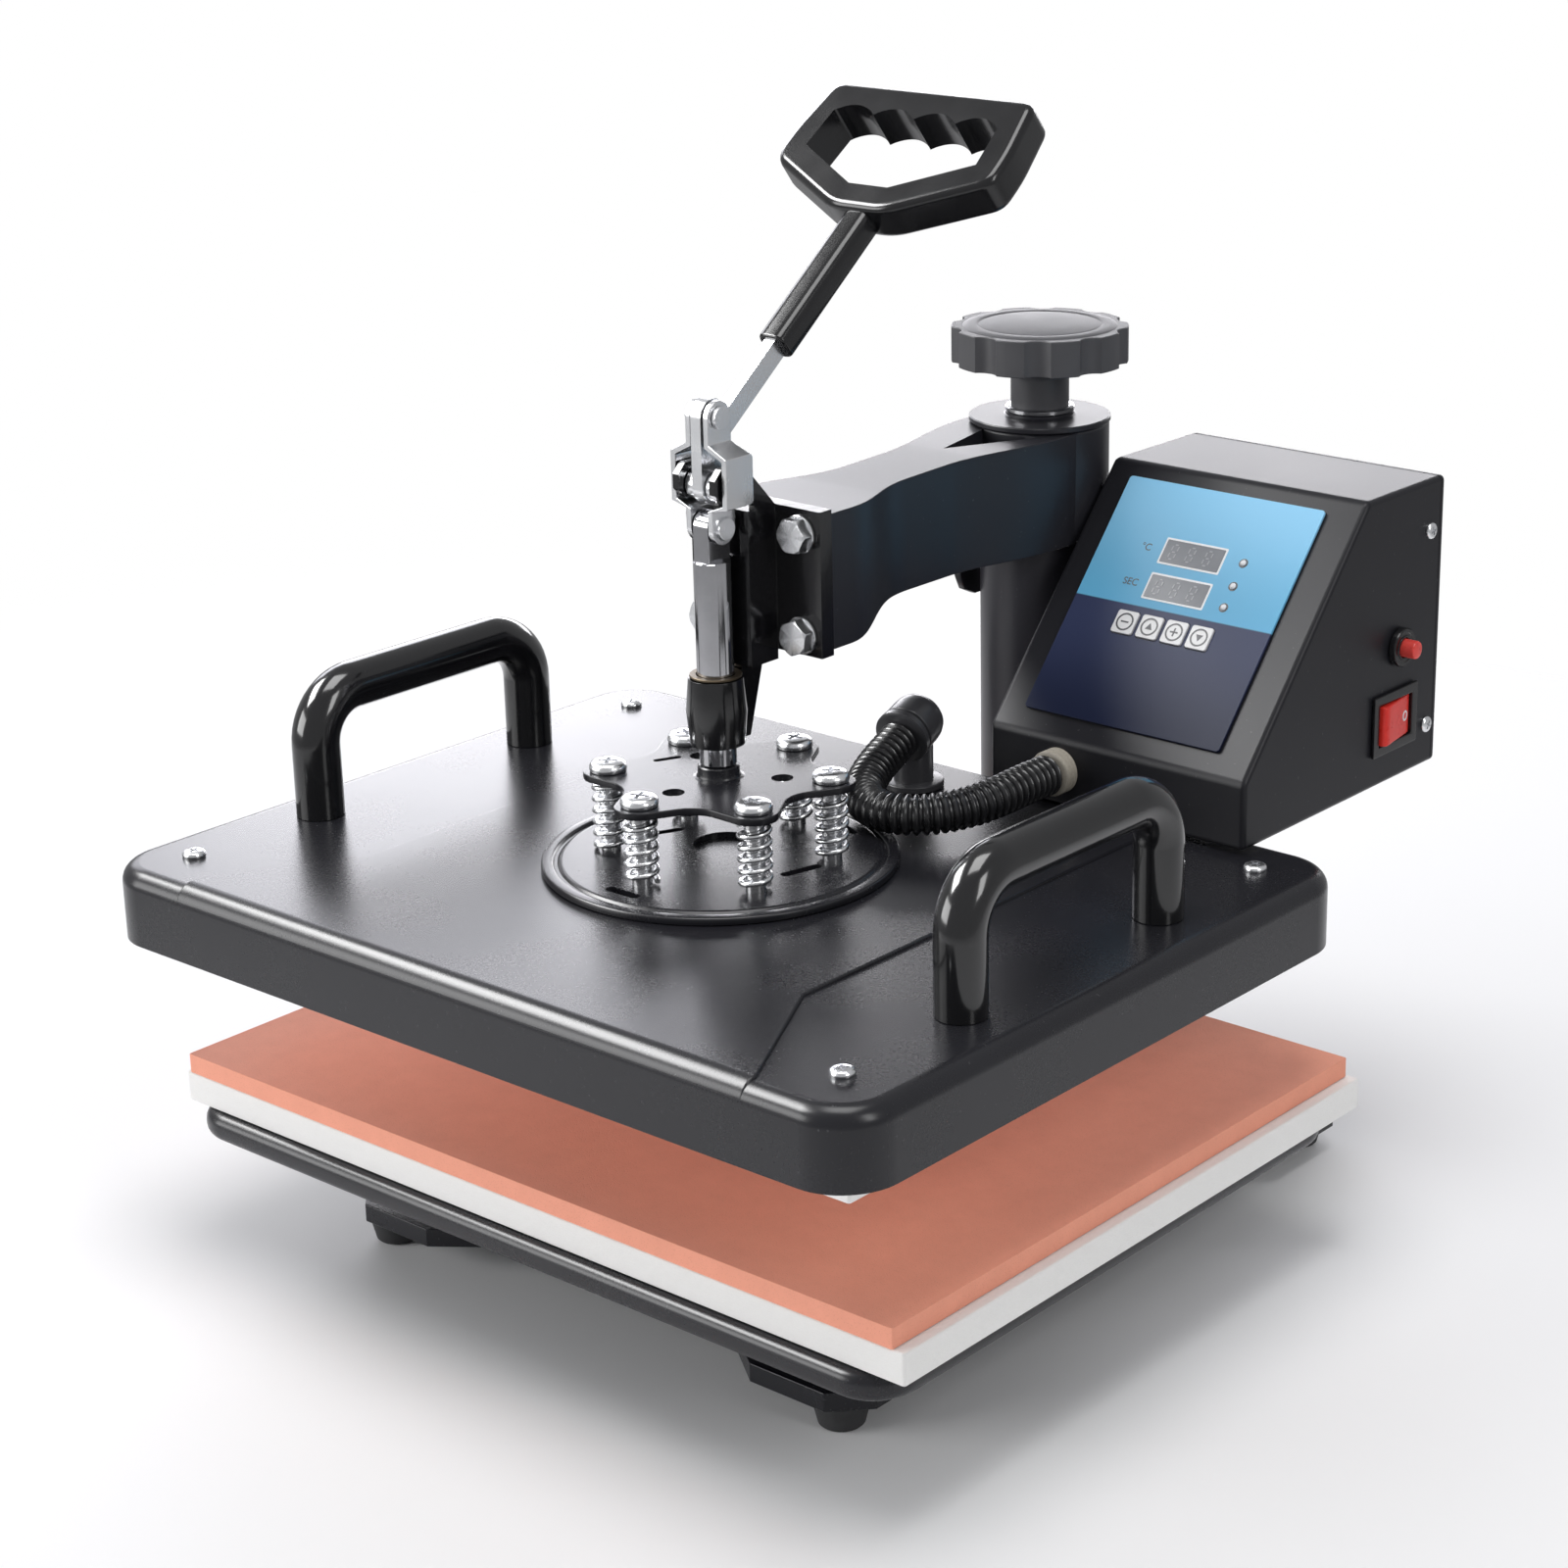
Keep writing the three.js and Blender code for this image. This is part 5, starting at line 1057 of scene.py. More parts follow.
class PRESS_OT_gland(bpy.types.Operator):
    """Makes the platen's hose gland and the cream collar at the control box"""

    bl_idname = "press.gland"
    bl_label = "Hose gland and collar"

    def execute(self, context):
        aim = Vector((0.17, -0.94, -0.27)).normalized()
        mouth = Vector((5, 106, 196))
        deep = 11
        flange = [(10.9, 0), (12.2, -0.8), (12.2, -3.2), (11.6, -3.8), (10.7, -4.1), (10.7, -4.9)]
        dome = [
            (11.5, -5.3), (11.8, -6), (11.8, -13), (11.5, -16), (10.6, -18.6), (8.9, -20.5), (6.5, -21.6),
            (3.4, -22), (0, -22),
        ]
        bm = turn([(0, -deep), (HOSE_BORE, -deep), (HOSE_BORE, 0), *flange, *dome], 48, mouth, aim)
        centre = mouth - aim * deep
        foot = edges_of("hose_gland")[0].z
        tall = centre.z - foot
        stem = [(0, 0), (12.6, 0), (13, 0.4), (13, 2.5), (12.4, 3), (8.5, 3.2), (8.5, tall), (0, tall)]
        turn(stem, 48, (centre.x, centre.y, foot), into=bm)
        made("gland_moulded", bm, "platen", "gland", ("hose_gland",))
        low, high = edges_of("hose_collar")
        middle = middle_of("hose_collar")
        crest, groove, sleeve, run = 9.7, 9.3, 7.4, high.y - low.y
        thread = []
        for start in (2.0, 4.4):
            thread += [(crest, start), (groove, start + 0.3), (groove, start + 0.7), (crest, start + 1.0)]
        profile = [
            (HOSE_BORE, 0), (8.9, 0), (crest, 0.6), *thread, (crest, 7), (sleeve, 7), (sleeve, run),
            (HOSE_BORE, run), (HOSE_BORE, 0),
        ]
        collar = turn(profile, 40, (middle.x, low.y, middle.z), (0, 1, 0))
        made("collar_threaded", collar, "arm", "cream", ("hose_collar",))
        return {"FINISHED"}


# Plunger and toggle


class PRESS_OT_plunger(bpy.types.Operator):
    """Makes the plunger: chrome rod with its milled tongue, and the lobed spring plate"""

    bl_idname = "press.plunger"
    bl_label = "Plunger"

    def execute(self, context):
        low, high = edges_of("spring_plate")
        lobe, waist = 10.0, 15.5
        outline = []
        for angle in SPRING_ANGLES:
            between = angle + 30
            outline += arc(*polar(SPRING_CIRCLE, angle), lobe, angle - 68, angle + 68, 10)
            outline += arc(*polar(55, between), waist, between + 205, between + 155, 6)
        holes = [*SPRING_PLACES, (22, 13), (-22, 13), (0, -26)]
        cutters = [bar(4.4, low.z - 2, low.z + 6, 32, x, y) for x, y in holes]
        cutters.append(slot(-30, 2, 12, 3.2, 65, low.z - 2, low.z + 6, 1.5, 4))
        bm = carved("plate", slab(outline, low.z, low.z + 3, rim=0.6, rim_steps=2), *cutters)
        tall = high.z - low.z
        boss = [(0, 2.9), (10.5, 2.9), (9.0, 3.4), (8.4, 4.4), (8.4, tall - 0.5), (7.9, tall), (0, tall)]
        turn(boss, 64, (0, 0, low.z), into=bm)
        made("spring_plate_cut", bm, "plunger", "coat", ("spring_plate",))
        low, high = edges_of("plunger_rod")
        shoulder, rod, tongue = 295.9, 7.4, 6.3
        profile = [
            (0, low.z), (rod - 0.5, low.z), (rod, low.z + 0.5), (rod, shoulder - 0.4), (rod - 0.4, shoulder),
            (0, shoulder),
        ]
        bm = turn(profile, 64)
        flat = [(-tongue, shoulder - 1), (tongue, shoulder - 1)]
        flat += arc(0, high.z - tongue, tongue, 0, 180, 16)
        join_into(bm, moved(slab(flat, -4, 4, rim=0.6, rim_steps=2), ALONG_X))
        made("rod_ground", bm, "plunger", "chrome", ("plunger_rod",))
        return {"FINISHED"}


def hex_bolt(across, height, washer, thick):
    """A hexagon head on a washer, standing up from z = 0."""
    top = thick + height
    corner = across / math.sqrt(3)
    edge = washer - 0.3
    bm = turn([(0, 0), (edge, 0), (washer, 0.3), (washer, thick - 0.3), (edge, thick), (0, thick)], 48)
    head = slab([polar(corner, 60 * k) for k in range(6)], thick, top)
    round_edges(head, 0.35, 2)
    cone = turn([(0, 0), (corner + 1.2, 0), (corner + 1.2, top - 2.1), (corner - 1.0, top), (0, top)], 48)
    join_into(bm, carved("hexagon", head, cone, operation="INTERSECT"))
    return bm


class PRESS_OT_bracket(bpy.types.Operator):
    """Makes the head bracket with its guide bush, pivot pin and four bolts"""

    bl_idname = "press.bracket"
    bl_label = "Head bracket"

    def execute(self, context):
        dressed("head_bracket", "arm", "gloss", 0.7, 3)
        dressed("guide_bush", "arm", "bronze", 0.2)
        dressed("pivot_pin", "arm", "zinc", 0.25)
        face = 24.7
        places = [(x, face, z) for x in (-24, 24) for z in (264, 305)]
        bolts = repeated(hex_bolt(13, 5.2, 7.6, 1.5), places, (10, 37, 22, 4), (0, -1, 0))
        made("bracket_bolts", bolts, "arm", "zinc")
        return {"FINISHED"}


class PRESS_OT_toggle(bpy.types.Operator):
    """Makes the lever bar, the two link straps and their pin"""

    bl_idname = "press.toggle"
    bl_label = "Lever and links"

    def execute(self, context):
        dressed("lever_bar", "lever", "zinc", 0.6, 2, 50)
        dressed("link_left", "link", "zinc", 0.35, 2, 50)
        dressed("link_right", "link", "zinc", 0.35, 2, 50)
        dressed("link_pin", "link", "zinc", 0.5, 2)
        return {"FINISHED"}


def filled_loops(bm, *loops):
    """Fills the flat field between closed outlines, the first the outer one."""
    edges = []
    for points in loops:
        verts = [bm.verts.new((x, y, 0)) for x, y in points]
        edges += [bm.edges.new(pair) for pair in zip(verts, verts[1:] + verts[:1])]
    bmesh.ops.triangle_fill(bm, edges=edges, use_beauty=True)
    bmesh.ops.recalc_face_normals(bm, faces=bm.faces)


class PRESS_OT_grip(bpy.types.Operator):
    """Moulds the hand grip and its stem"""

    bl_idname = "press.grip"
    bl_label = "Hand grip"

    def execute(self, context):
        made("grip_moulded", moved(self.loop(), ON_LEVER), "lever", "grip", ("hand_grip",), 50.0)
        half_wide, half_thick, start, run = 6.7, 6.1, 60, 76
        section = rounded_outline(centred(0, 0, half_wide, half_thick), 4.6, 6)
        stem = slab(section, 0, run, rim=1.2, rim_steps=3)
        moved(stem, ON_LEVER @ Matrix.Translation((0, start, 0)) @ Matrix.Rotation(-QUARTER, 4, "X"))
        made("grip_stem", stem, "lever", "grip", (), 50.0)
        return {"FINISHED"}

    def loop(self):
        """The grip drawn flat, with its opening, whose far side has four finger waves."""
        deep = size("grip_depth") / 2
        half = [(13, 127), (56, 148), (56, 164), (51.5, 192)]
        outer = rounded_outline([(-13, 127), *half, (-51.5, 192), (-56, 164), (-56, 148)], 6.0)
        finger_steps, half_opening = 48, 42.5
        inner = [(-10, 139), (10, 139), (44, 156)]
        for i in range(finger_steps + 1):
            share = i / finger_steps
            wave = abs(math.sin(share * 4 * math.pi)) ** 0.8
            inner.append((half_opening * (1 - 2 * share), 175.6 + 4.4 * wave))
        inner.append((-44, 156))
        bm = bmesh.new()
        filled_loops(bm, outer, inner)
        bmesh.ops.translate(bm, verts=bm.verts, vec=(0, 0, -deep))
        lifted = only_verts(bmesh.ops.extrude_face_region(bm, geom=list(bm.faces))["geom"])
        bmesh.ops.translate(bm, verts=lifted, vec=(0, 0, 2 * deep))
        bmesh.ops.recalc_face_normals(bm, faces=bm.faces)
        whole_faces(bm)
        rims = sharp_edges(bm, 70, lambda e: abs(e.verts[0].co.z - e.verts[1].co.z) < 0.01)
        outside = [
            e for e in rims if all(abs(v.co.x) > 47 or v.co.y < 137.5 or v.co.y > 184 for v in e.verts)
        ]
        inside = [e for e in rims if e not in outside]
        bevelled(bm, outside, 3.4, 5)
        bevelled(bm, inside, 1.6, 5)
        return bm


# Arm and knob


def arm_plan(thinner):
    """The arm from above: wide at the nose, waisted, flared where it meets the hub."""
    nose, waist, flare = 28 - thinner, 17 - thinner, 28 - thinner
    right = [(nose, 20), (nose, 50)]
    right += curve_through((nose, 50), (nose, 68), (waist, 78), (waist, 98), 14)
    right += curve_through((waist, 120), (waist, 148), (flare, 160), (flare, 192), 14)
    return mirrored([*right, (flare, 212)])


class PRESS_OT_arm(bpy.types.Operator):
    """Makes the swing arm with its hub and cap"""

    bl_idname = "press.arm"
    bl_label = "Swing arm"

    def execute(self, context):
        made("arm_cast", self.channel(), "arm", "arm_coat", ("swing_arm",))
        low, high = edges_of("hub_cap")
        tall = high.z - low.z
        bore, cap, boss = 6.4, 30.6, 14.9
        profile = [
            (bore, 0), (cap - 0.5, 0), (cap, 0.5), (cap, 2.1), (cap - 0.5, 2.6), (16, 2.6), (15.4, 2.9),
            (boss, 3.1), (boss, 3.9), (14.5, tall), (bore, tall), (bore, 0),
        ]
        made("cap_turned", turn(profile, 96, (POST.x, POST.y, low.z)), "arm", "arm_coat", ("hub_cap",))
        dressed("box_bracket", "arm", "coat", 0.3)
        dressed("lift_ring", "lift", "zinc", 0.4, 2)
        return {"FINISHED"}

    def channel(self):
        """The arm: a beam hollow underneath, its recess, hub and stop lug."""
        front, low, under, top, hub_top = 32.0, 255.5, 264.5, 310.8, 313
        side = [(front, low), (50, low), *curve_through((50, low), (66, low), (66, under), (88, under), 16)]
        side += [(POST.y, under), (POST.y, hub_top), (178, 312.8)]
        side += [*curve_through((178, 312.8), (120, 312.6), (98, top), (60, top), 8), (front, top)]
        beam = moved(slab(side, -40, 40), ALONG_X)
        bm = carved("beam", beam, slab(arm_plan(0), 230, 330), operation="INTERSECT")
        whole_faces(bm)
        side_edges = 16.5
        round_edges(
            bm, 1.8, 4, sharper_than=45,
            keep=lambda e: all(abs(v.co.x) > side_edges and v.co.y < POST.y - 1 for v in e.verts),
        )
        wall, roof = 4, 306.5
        room = slab(mirrored([(22, 36), (22, 96), (12.8, 122), (12.8, 138)]), 200, 340)
        hollow = carved("hollow", slab(arm_plan(wall), 230, roof), room, operation="INTERSECT")
        recess = slab(rounded_outline([(-1, 143), (19, 181), (-9, 181)], 0.8, 3), 299, 330)
        bore, seat = 26.5, 304
        bm = carved("beam", bm, hollow, recess, bar(bore + 0.1, 200, seat, 96, POST.x, POST.y))
        screw_hole, hub = 6.4, 30
        profile = [
            (screw_hole, seat), (bore, seat), (bore, under), (hub - 1, under), (hub, under + 1),
            (hub, hub_top - 1), (hub - 0.8, hub_top), (screw_hole, hub_top), (screw_hole, seat),
        ]
        turn(profile, 96, (POST.x, POST.y, 0), into=bm)
        tab = [(186.5, 268), (186.5, 242.5), (189.5, 236.2), (197, 232.7), (201.5, 232.7), (201.5, 268)]
        join_into(bm, moved(slab(tab, -31, -27, rim=0.8, rim_steps=2), ALONG_X))
        return bm


class PRESS_OT_knob(bpy.types.Operator):
    """Moulds the lobed pressure knob on its chrome collar and screw"""

    bl_idname = "press.knob"
    bl_label = "Pressure knob"

    def execute(self, context):
        low, high = edges_of("pressure_knob")
        lobes = context.scene.press_sizes.knob_lobes
        radius, notch, notch_circle, half = 38, 7.4, 42.4, 180 / lobes
        outline = []
        for lobe in range(lobes):
            middle = 2 * half * lobe
            between = middle + half
            outline += arc(0, 0, radius, middle - half + 8.5, between - 8.5, 6)
            outline += arc(*polar(notch_circle, between), notch, between + 227, between + 133, 7)
        bm = slab(outline, high.z - 17, high.z - 1.5, rim=2.4, rim_steps=4)
        moved(bm, Matrix.Translation((POST.x, POST.y, 0)))
        crown = [
            (34, -2.2), (33, -1.3), (30, -0.9), (27.5, -0.8), (26.8, -1.2), (26.0, -1.3), (25.2, -0.9),
            (16, -0.3), (8, 0), (0, 0),
        ]
        turn(crown, 80, (POST.x, POST.y, high.z), into=bm)
        neck = [
            (6.3, low.z), (12.2, low.z), (12.6, low.z + 0.5), (12.6, high.z - 24), (14.5, high.z - 19.5),
            (20, high.z - 17), (20, high.z - 12),
        ]
        turn(neck, 64, (POST.x, POST.y, 0), into=bm)
        made("knob_moulded", bm, "knob", "knob", ("pressure_knob",), 50.0)
        dressed("pressure_screw", "knob", "zinc", 0.3)
        collar = [(12.75, 0), (14.6, 0), (15, 0.4), (15, 1.8), (14.4, 2.3), (12.75, 2.3), (12.75, 0)]
        seat = edges_of("hub_cap")[1].z + 0.1
        made("knob_collar", turn(collar, 64, (POST.x, POST.y, seat)), "knob", "chrome")
        return {"FINISHED"}


# Control box


class PRESS_OT_box(bpy.types.Operator):
    """Folds the control box and its back, with their screws"""

    bl_idname = "press.box"
    bl_label = "Control box"

    def execute(self, context):
        front, bottom, rear, top = CASE_LOW.y, CASE_LOW.z, CASE_HIGH.y, CASE_HIGH.z
        side = [(front, bottom), (rear, bottom), (rear, top), (SLOPE_REAR, top), (front, LIP)]
        case = moved(slab(side, CASE_LOW.x, CASE_HIGH.x), ALONG_X)
        round_edges(
            case, 2.4, 5, sharper_than=20, keep=lambda e: any(abs(v.co.y - rear) >= 0.01 for v in e.verts)
        )
        made("case_folded", case, "arm", "box_coat", ("control_case",), 50.0)
        low, high = edges_of("case_back")
        back = slab(rectangle(low.x, high.x, low.z, high.z), -high.y, -low.y, 2.4, 5, 0.5, 2)
        made("back_plate", moved(back, ALONG_Y), "arm", "box_coat", ("case_back",))
        at_side = [(CASE_HIGH.x, 268, 277), (CASE_HIGH.x, 270, 191)]
        at_back = [(x, high.y, z) for x in (low.x + 8, high.x - 8) for z in (low.z + 9, high.z - 9)]
        screws = repeated(pan_screw(3.6, 2.0, 1.5, 2), at_side, (15, 60), (1, 0, 0))
        join_into(screws, repeated(pan_screw(3.6, 2.0, 1.5, 2), at_back, (10, 40, 70, 25), (0, 1, 0)))
        made("case_screws", screws, "arm", "zinc")
        dressed("mains_inlet", "arm", "rubber", 0.5, 2)
        dressed("circuit_board", "arm", "board", 0)
        return {"FINISHED"}


def seven_segments(bm, x, y, height, level):
    """One figure of seven bars, its lower left corner at x and y, drawn at a level."""
    width, thick, lean, gap = height * 0.5, height * 0.13, 0.09, 0.22
    lower, upper = (height - thick) / 2, (height + thick) / 2
    bars = [(thick, width - thick, foot, foot + thick) for foot in (0, lower, height - thick)]
    for left in (0, width - thick):
        bars += [(left, left + thick, thick, lower), (left, left + thick, upper, height - thick)]
    for x0, x1, y0, y1 in bars:
        corners = rectangle(x0 + gap, x1 - gap, y0 + gap, y1 - gap)
        slab([(x + px + lean * py, y + py) for px, py in corners], level, level + 0.12, into=bm)


def words(text, height):
    """Raised lettering as a bmesh, centred on the origin."""
    data = bpy.data.curves.new("lettering", "FONT")
    data.body = text
    data.size = height
    data.extrude = 0.06
    data.align_x = "CENTER"
    data.align_y = "CENTER"
    holder = bpy.data.objects.new("lettering", data)
    bpy.context.scene.collection.objects.link(holder)
    bpy.context.view_layer.update()
    mesh = bpy.data.meshes.new_from_object(holder.evaluated_get(bpy.context.evaluated_depsgraph_get()))
    bm = bmesh.new()
    bm.from_mesh(mesh)
    bpy.data.objects.remove(holder)
    bpy.data.curves.remove(data)
    bpy.data.meshes.remove(mesh)
    return bm


# On the slope, in millimetres across from the press axis and up from the lip.
# The film's left, right, lower and upper edges, and where its two blues meet
FILM = (45, 143.5, 10.5, 123)
FILM_SPLIT = 65.0
FACE = 1.5
KEY_ROW = 56.5
KEY_COLUMNS = [75 + 12.5 * k for k in range(4)]
DISPLAYS = (68.8, 85.6)
DISPLAY_LEFT = 76.6
DISPLAY_WIDE, DISPLAY_TALL = 31.0, 12.4
LAMP_COLUMN = 117
LAMPS = (72, 82, 93)
MINUS = centred(0, 0, 1.9, 0.35)
STROKE = centred(0, 0, 0.35, 1.9)
ARROW_UP = [(-1.7, -1.2), (1.7, -1.2), (0, 1.8)]
ARROW_DOWN = [(-1.7, 1.2), (0, -1.8), (1.7, 1.2)]
# What each key shows, from the left
KEY_MARKS = ([MINUS], [ARROW_UP], [MINUS, STROKE], [ARROW_DOWN])


class PRESS_OT_panel(bpy.types.Operator):
    """Makes the printed panel with its two displays, lamps and four keys"""

    bl_idname = "press.panel"
    bl_label = "Control panel"

    def on_slope(self, name, bm, body, look, node=None, flat=False):
        """Lays a form on the slope and finishes it. A flat print needs no even shading."""
        replaces = (node,) if node else ()
        made(name, moved(bm, ON_SLOPE), body, look, replaces, weighted=not flat)

    def execute(self, context):
        windows = [slab(centred(x, KEY_ROW, 5.6, 5.6), -1, FACE + 1, 1.4, 4) for x in KEY_COLUMNS]
        film = carved("film", slab(rectangle(*FILM), 0.3, FACE, 1.6, 4, 0.25, 2), *windows)
        self.on_slope("panel_film", film, "arm", "film", "control_panel")
        self.displays()
        self.lamps_and_words()
        for number, (x, marks) in enumerate(zip(KEY_COLUMNS, KEY_MARKS), 1):
            cap = slab(centred(x, KEY_ROW, 5.3, 5.3), FACE - 0.6, FACE + 0.9, 1.2, 4, 0.35, 2)
            self.on_slope(f"key_cap_{number}", cap, f"key_{number}", "key", f"panel_key_{number}")
            mark = bmesh.new()
            print_low, print_high = FACE + 0.88, FACE + 1.0
            ring(mark, x, KEY_ROW, 4.1, 3.35, print_low, print_high)
            for outline in marks:
                slab([(x + px, KEY_ROW + py) for px, py in outline], print_low, print_high, into=mark)
            self.on_slope(f"key_mark_{number}", mark, f"key_{number}", "print_black", flat=True)
        return {"FINISHED"}

    def displays(self):
        """The two displays: a white border, a smoked window and three dim figures in each."""
        border, glass, figures = bmesh.new(), bmesh.new(), bmesh.new()
        left, right = DISPLAY_LEFT, DISPLAY_LEFT + DISPLAY_WIDE
        for low in DISPLAYS:
            high = low + DISPLAY_TALL
            slab(rectangle(left, right, low, high), FACE - 0.2, FACE + 0.12, 0.5, 2, into=border)
            window = rectangle(left + 0.9, right - 0.9, low + 0.9, high - 0.9)
            slab(window, FACE - 0.2, FACE + 0.24, 0.3, 2, into=glass)
            for digit in range(3):
                seven_segments(figures, left + 3.6 + digit * 8.6, low + 2.3, 7.8, FACE + 0.24)
        self.on_slope("display_borders", border, "arm", "print_white")
        self.on_slope("display_glass", glass, "arm", "screen", "display_module")
        self.on_slope("display_figures", figures, "arm", "ghost", flat=True)

    def lamps_and_words(self):
        """The three lamps in their rings, and the units beside the displays."""
        lamps, marks = bmesh.new(), bmesh.new()
        for y in LAMPS:
            lens = [(0, 0), (1.35, 0), (1.35, 0.5), (0.9, 0.9), (0, 1.0)]
            turn(lens, 24, (LAMP_COLUMN, y, FACE), into=lamps)
            ring(marks, LAMP_COLUMN, y, 2.1, 1.4, FACE - 0.1, FACE + 0.1)
        for y, text in ((91.8, "°C"), (75, "SEC")):
            join_into(marks, moved(words(text, 4.6), Matrix.Translation((68.5, y, FACE + 0.06))))
        self.on_slope("panel_lamps", lamps, "arm", "print_white")
        self.on_slope("panel_marks", marks, "arm", "print_black", flat=True)


class PRESS_OT_switches(bpy.types.Operator):
    """Makes the rocker switch and the reset breaker on the box's right side"""

    bl_idname = "press.switches"
    bl_label = "Switches"

    def execute(self, context):
        dressed("rocker_housing", "arm", "grip", 0.5, 2)
        crest = [
            (158.6, 231.3), (162.7, 231.3), (164.0, 231.8), (164.7, 233.2), (164.6, 235.4), (163.9, 239.0),
            (163.2, 243.5), (162.5, 248.0), (161.9, 252.0), (161.4, 254.8), (160.8, 255.6), (158.6, 255.6),
        ]
        middle, half_tall = 200, 8.65
        rocker = slab(crest, middle - half_tall, middle + half_tall, rim=0.6, rim_steps=3)
        made("rocker_moulded", rocker, "rocker", "red", ("rocker_switch",), 50.0)
        mark = bmesh.new()
        ring(mark, 0, 0, 2.3, 1.5, -0.15, 0.2, 32)
        tilt = Matrix.Rotation(math.atan2(0.6, 4.0), 4, "Z") @ Matrix.Rotation(QUARTER, 4, "Y")
        moved(mark, Matrix.Translation((162.1, 250.8, middle)) @ tilt)
        made("rocker_mark", mark, "rocker", "print_white", weighted=False)
        centre = middle_of("breaker_housing")
        bore, nut = 4.3, 8.4
        profile = [
            (bore, 0), (nut - 0.4, 0), (nut, 0.4), (nut, 2.6), (7.8, 3.4), (6.6, 3.4), (6.2, 3.0), (5.4, 3.0),
            (5.2, 3.4), (4.6, 3.4), (bore, 3.1), (bore, 0),
        ]
        collar = turn(profile, 64, (CASE_HIGH.x + 0.3, centre.y, centre.z), (1, 0, 0))
        made("breaker_nut", collar, "arm", "grip", ("breaker_housing",))
        low, high = edges_of("breaker_button")
        stem, run = 3.9, high.x - low.x
        profile = [(0, 0), (stem, 0), (stem, run - 1.0), (stem - 0.3, run - 0.3), (stem - 1, run), (0, run)]
        button = turn(profile, 48, (low.x, centre.y, centre.z), (1, 0, 0))
        made("breaker_button_turned", button, "breaker", "breaker_red", ("breaker_button",))
        return {"FINISHED"}


# Stage

FLOOR_HALF = 8.0
FLOOR_DEPTH = 0.0004
# The floor fades out between these distances from the press, in millimetres
FLOOR_FADE = (450.0, 1150.0)
WHITE = (1.0, 1.0, 1.0)
# Name, place and target in metres, width, height, power in watts, tint, and whether matt faces see the lamp
LAMPS_ROUND = (
    ("key_left", (-2.1, 1.1, 1.15), (0, 0, 0.15), 1.5, 0.9, 15, (0.93, 0.93, 1.0), True),
    ("rear_low", (-1.5, 2.3, 0.75), (0, 0, 0.25), 2.6, 0.5, 34, (0.97, 0.96, 1.0), True),
    ("fill_front", (-1.5, -2.0, 0.75), (0, 0, 0.15), 1.6, 1.0, 32, WHITE, True),
    ("side_right", (2.3, -0.3, 1.5), (0, 0, 0.2), 0.6, 1.4, 16, WHITE, True),
    ("top_soft", (0.1, -0.2, 2.4), (0, 0, 0.1), 1.2, 1.2, 27, WHITE, True),
    ("edge_strip", (-1.4, -0.8, 1.75), (0, -0.1, 0.14), 1.5, 0.7, 80, WHITE, False),
)


def faded_floor():
    """A pale floor round the press that fades out into the white backdrop."""
    recipe = Recipe("pale_floor")
    x, y, _ = recipe.axes()
    away = ((x * x + y * y) ** 0.5).ramp(*FLOOR_FADE)
    pale = recipe.node("ShaderNodeBsdfPrincipled", Base_Color=(0.9, 0.9, 0.905), Roughness=0.8)["BSDF"]
    clear = recipe.node("ShaderNodeBsdfTransparent")["BSDF"]
    return recipe.shown(recipe.blend(away, pale, clear))


def studio_world():
    """A dim room round the press, with white behind it for the camera, for glass and faintly for gloss."""
    world = bpy.data.worlds.new("studio")
    nodes = Nodes(world)
    ray = nodes.node("ShaderNodeLightPath")
    seen = ray["Is Camera Ray"] + ray["Is Transmission Ray"] + ray["Is Glossy Ray"] * 0.22
    room = nodes.node("ShaderNodeBackground", Color=(0.82, 0.83, 0.86), Strength=0.3)["Background"]
    backdrop = nodes.node("ShaderNodeBackground", Color=WHITE, Strength=1.0)["Background"]
    nodes.node("ShaderNodeOutputWorld", Surface=nodes.blend(seen, room, backdrop))
    return world


class PRESS_OT_stage(bpy.types.Operator):
    """Lays the pale floor and hangs the soft studio lights"""

    bl_idname = "press.stage"
    bl_label = "Floor and lights"

    def execute(self, context):
        bm = bmesh.new()
        bmesh.ops.create_grid(bm, x_segments=1, y_segments=1, size=FLOOR_HALF)
        floor = as_object("floor", moved(bm, Matrix.Translation((0, 0, -FLOOR_DEPTH))))
        floor.data.materials.append(faded_floor())
        for name, place, target, width, height, power, tint, matt in LAMPS_ROUND:
            data = bpy.data.lights.new(name, "AREA")
            data.shape = "RECTANGLE"
            data.size = width
            data.size_y = height
            data.energy = power * context.scene.press_stage.light
            data.color = tint
            lamp = bpy.data.objects.new(name, data)
            lamp.visible_diffuse = matt
            context.scene.collection.objects.link(lamp)
            aimed = (Vector(target) - Vector(place)).to_track_quat("-Z", "Y").to_matrix().to_4x4()
            lamp.matrix_world = Matrix.Translation(place) @ aimed
        context.scene.world = studio_world()
        context.scene.view_settings.view_transform = "Standard"
        return {"FINISHED"}


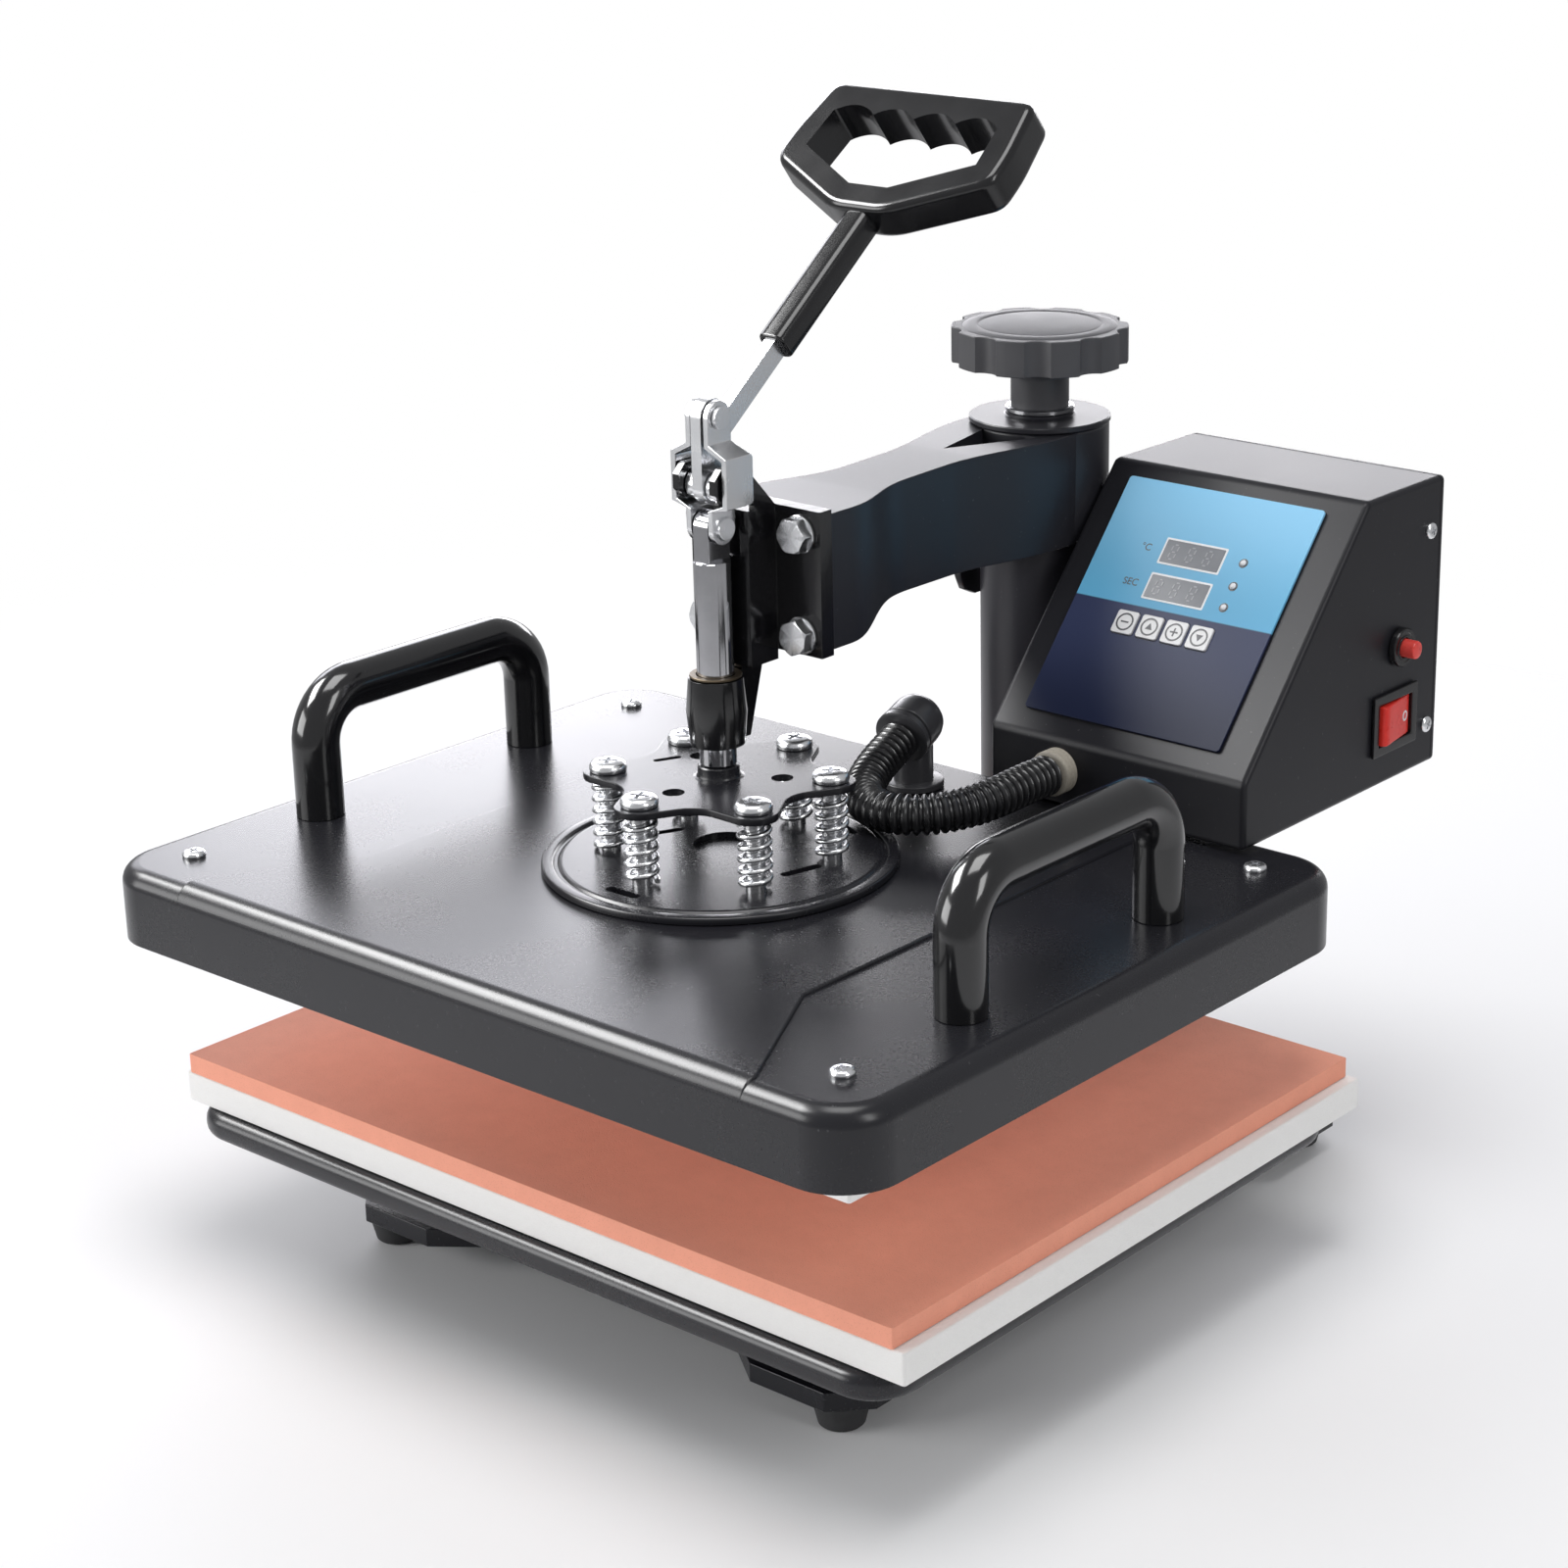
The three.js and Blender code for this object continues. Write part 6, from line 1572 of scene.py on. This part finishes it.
class PRESS_OT_finishes(bpy.types.Operator):
    """Mixes every finish of the press"""

    bl_idname = "press.finishes"
    bl_label = "Finishes"

    def execute(self, context):
        c = context.scene.press_colours
        FINISHES.update({
            "coat": (powder_coat("satin_coat", c.coat, 0.27), "satin_black"),
            "arm_coat": (powder_coat("arm_coat", tinted(c.coat, 1.6), 0.36), "satin_black"),
            "box_coat": (
                powder_coat("box_coat", c.coat, 0.37, peel=0.008, grain=0.9, shine=0.24), "satin_black",
            ),
            "gloss": (enamel("gloss_enamel", c.gloss, 0.12), "gloss_black"),
            "post": (powder_coat("post_coat", c.post, 0.32), "post_grey"),
            "knob": (moulded("knob_plastic", (0.062, 0.062, 0.068), 0.5), "black_plastic"),
            "gland": (
                moulded("gland_plastic", (0.04, 0.04, 0.044), 0.3, grain=0.3, depth=0.004), "black_plastic",
            ),
            "grip": (
                moulded("grip_plastic", (0.007, 0.007, 0.008), 0.19, grain=0.5, depth=0.001), "black_plastic",
            ),
            "conduit": (conduit_plastic(), "black_plastic"),
            "rubber": (black_rubber(), "rubber"),
            "zinc": (bright_zinc(), "zinc_steel"),
            "chrome": (ground_chrome(), "chrome"),
            "aluminium": (milled_aluminium(), "cast_aluminium"),
            "brass": (plain_brass(), "brass"),
            "bronze": (oiled_bronze(), "brass"),
            "sponge": (silicone_sponge(c.pad), "silicone"),
            "felt": (heat_felt(), "white_foam"),
            "film": (printed_film(c.sky, c.navy, FILM_SPLIT, FILM[3]), "panel_blue"),
            "screen": (smoked_screen(), "screen"),
            "ghost": (ghost_segment(), "screen"),
            "print_white": (printed_white(), "key_white"),
            "print_black": (printed_black(), "black_plastic"),
            "key": (moulded("key_plastic", (0.6, 0.6, 0.61), 0.4), "key_white"),
            "red": (red_lens("rocker_red", c.rocker), "red_plastic"),
            "breaker_red": (red_lens("breaker_red", c.breaker), "red_plastic"),
            "cream": (cream_nylon(), "cream_plastic"),
            "board": (solder_mask(), "board"),
        })
        return {"FINISHED"}


# The finishes come first, then the camera and the hose, then the other pieces, and last the stage.
STEPS = (
    PRESS_OT_finishes, PRESS_OT_camera, PRESS_OT_hose, PRESS_OT_base, PRESS_OT_pads, PRESS_OT_platen,
    PRESS_OT_disc, PRESS_OT_springs, PRESS_OT_handles, PRESS_OT_gland, PRESS_OT_plunger, PRESS_OT_bracket,
    PRESS_OT_toggle, PRESS_OT_grip, PRESS_OT_arm, PRESS_OT_knob, PRESS_OT_box, PRESS_OT_panel,
    PRESS_OT_switches, PRESS_OT_stage,
)
GROUPS = {"press_sizes": PressSizes, "press_colours": PressColours, "press_stage": StageSettings}


class PRESS_PT_sidebar(bpy.types.Panel):
    """Lists the press's sizes, colours and steps"""

    bl_idname = "PRESS_PT_sidebar"
    bl_label = "Combo heat press"
    bl_space_type = "VIEW_3D"
    bl_region_type = "UI"
    bl_category = "Press"

    def draw(self, context):
        column = self.layout.column()
        for name, group in GROUPS.items():
            for key in group.__annotations__:
                column.prop(getattr(context.scene, name), key)
        for step in STEPS:
            column.operator(step.bl_idname)


CLASSES = (*GROUPS.values(), *STEPS, PRESS_PT_sidebar)


def register():
    """Adds the settings, the steps and the sidebar to Blender."""
    for item in CLASSES:
        bpy.utils.register_class(item)
    for name, group in GROUPS.items():
        setattr(bpy.types.Scene, name, PointerProperty(type=group))


def unregister():
    """Takes them out again."""
    for name in GROUPS:
        delattr(bpy.types.Scene, name)
    for item in reversed(CLASSES):
        bpy.utils.unregister_class(item)


def main():
    """Makes the press step by step."""
    register()
    for step in STEPS:
        group, name = step.bl_idname.split(".")
        getattr(getattr(bpy.ops, group), name)()


if __name__ == "__main__":
    main()
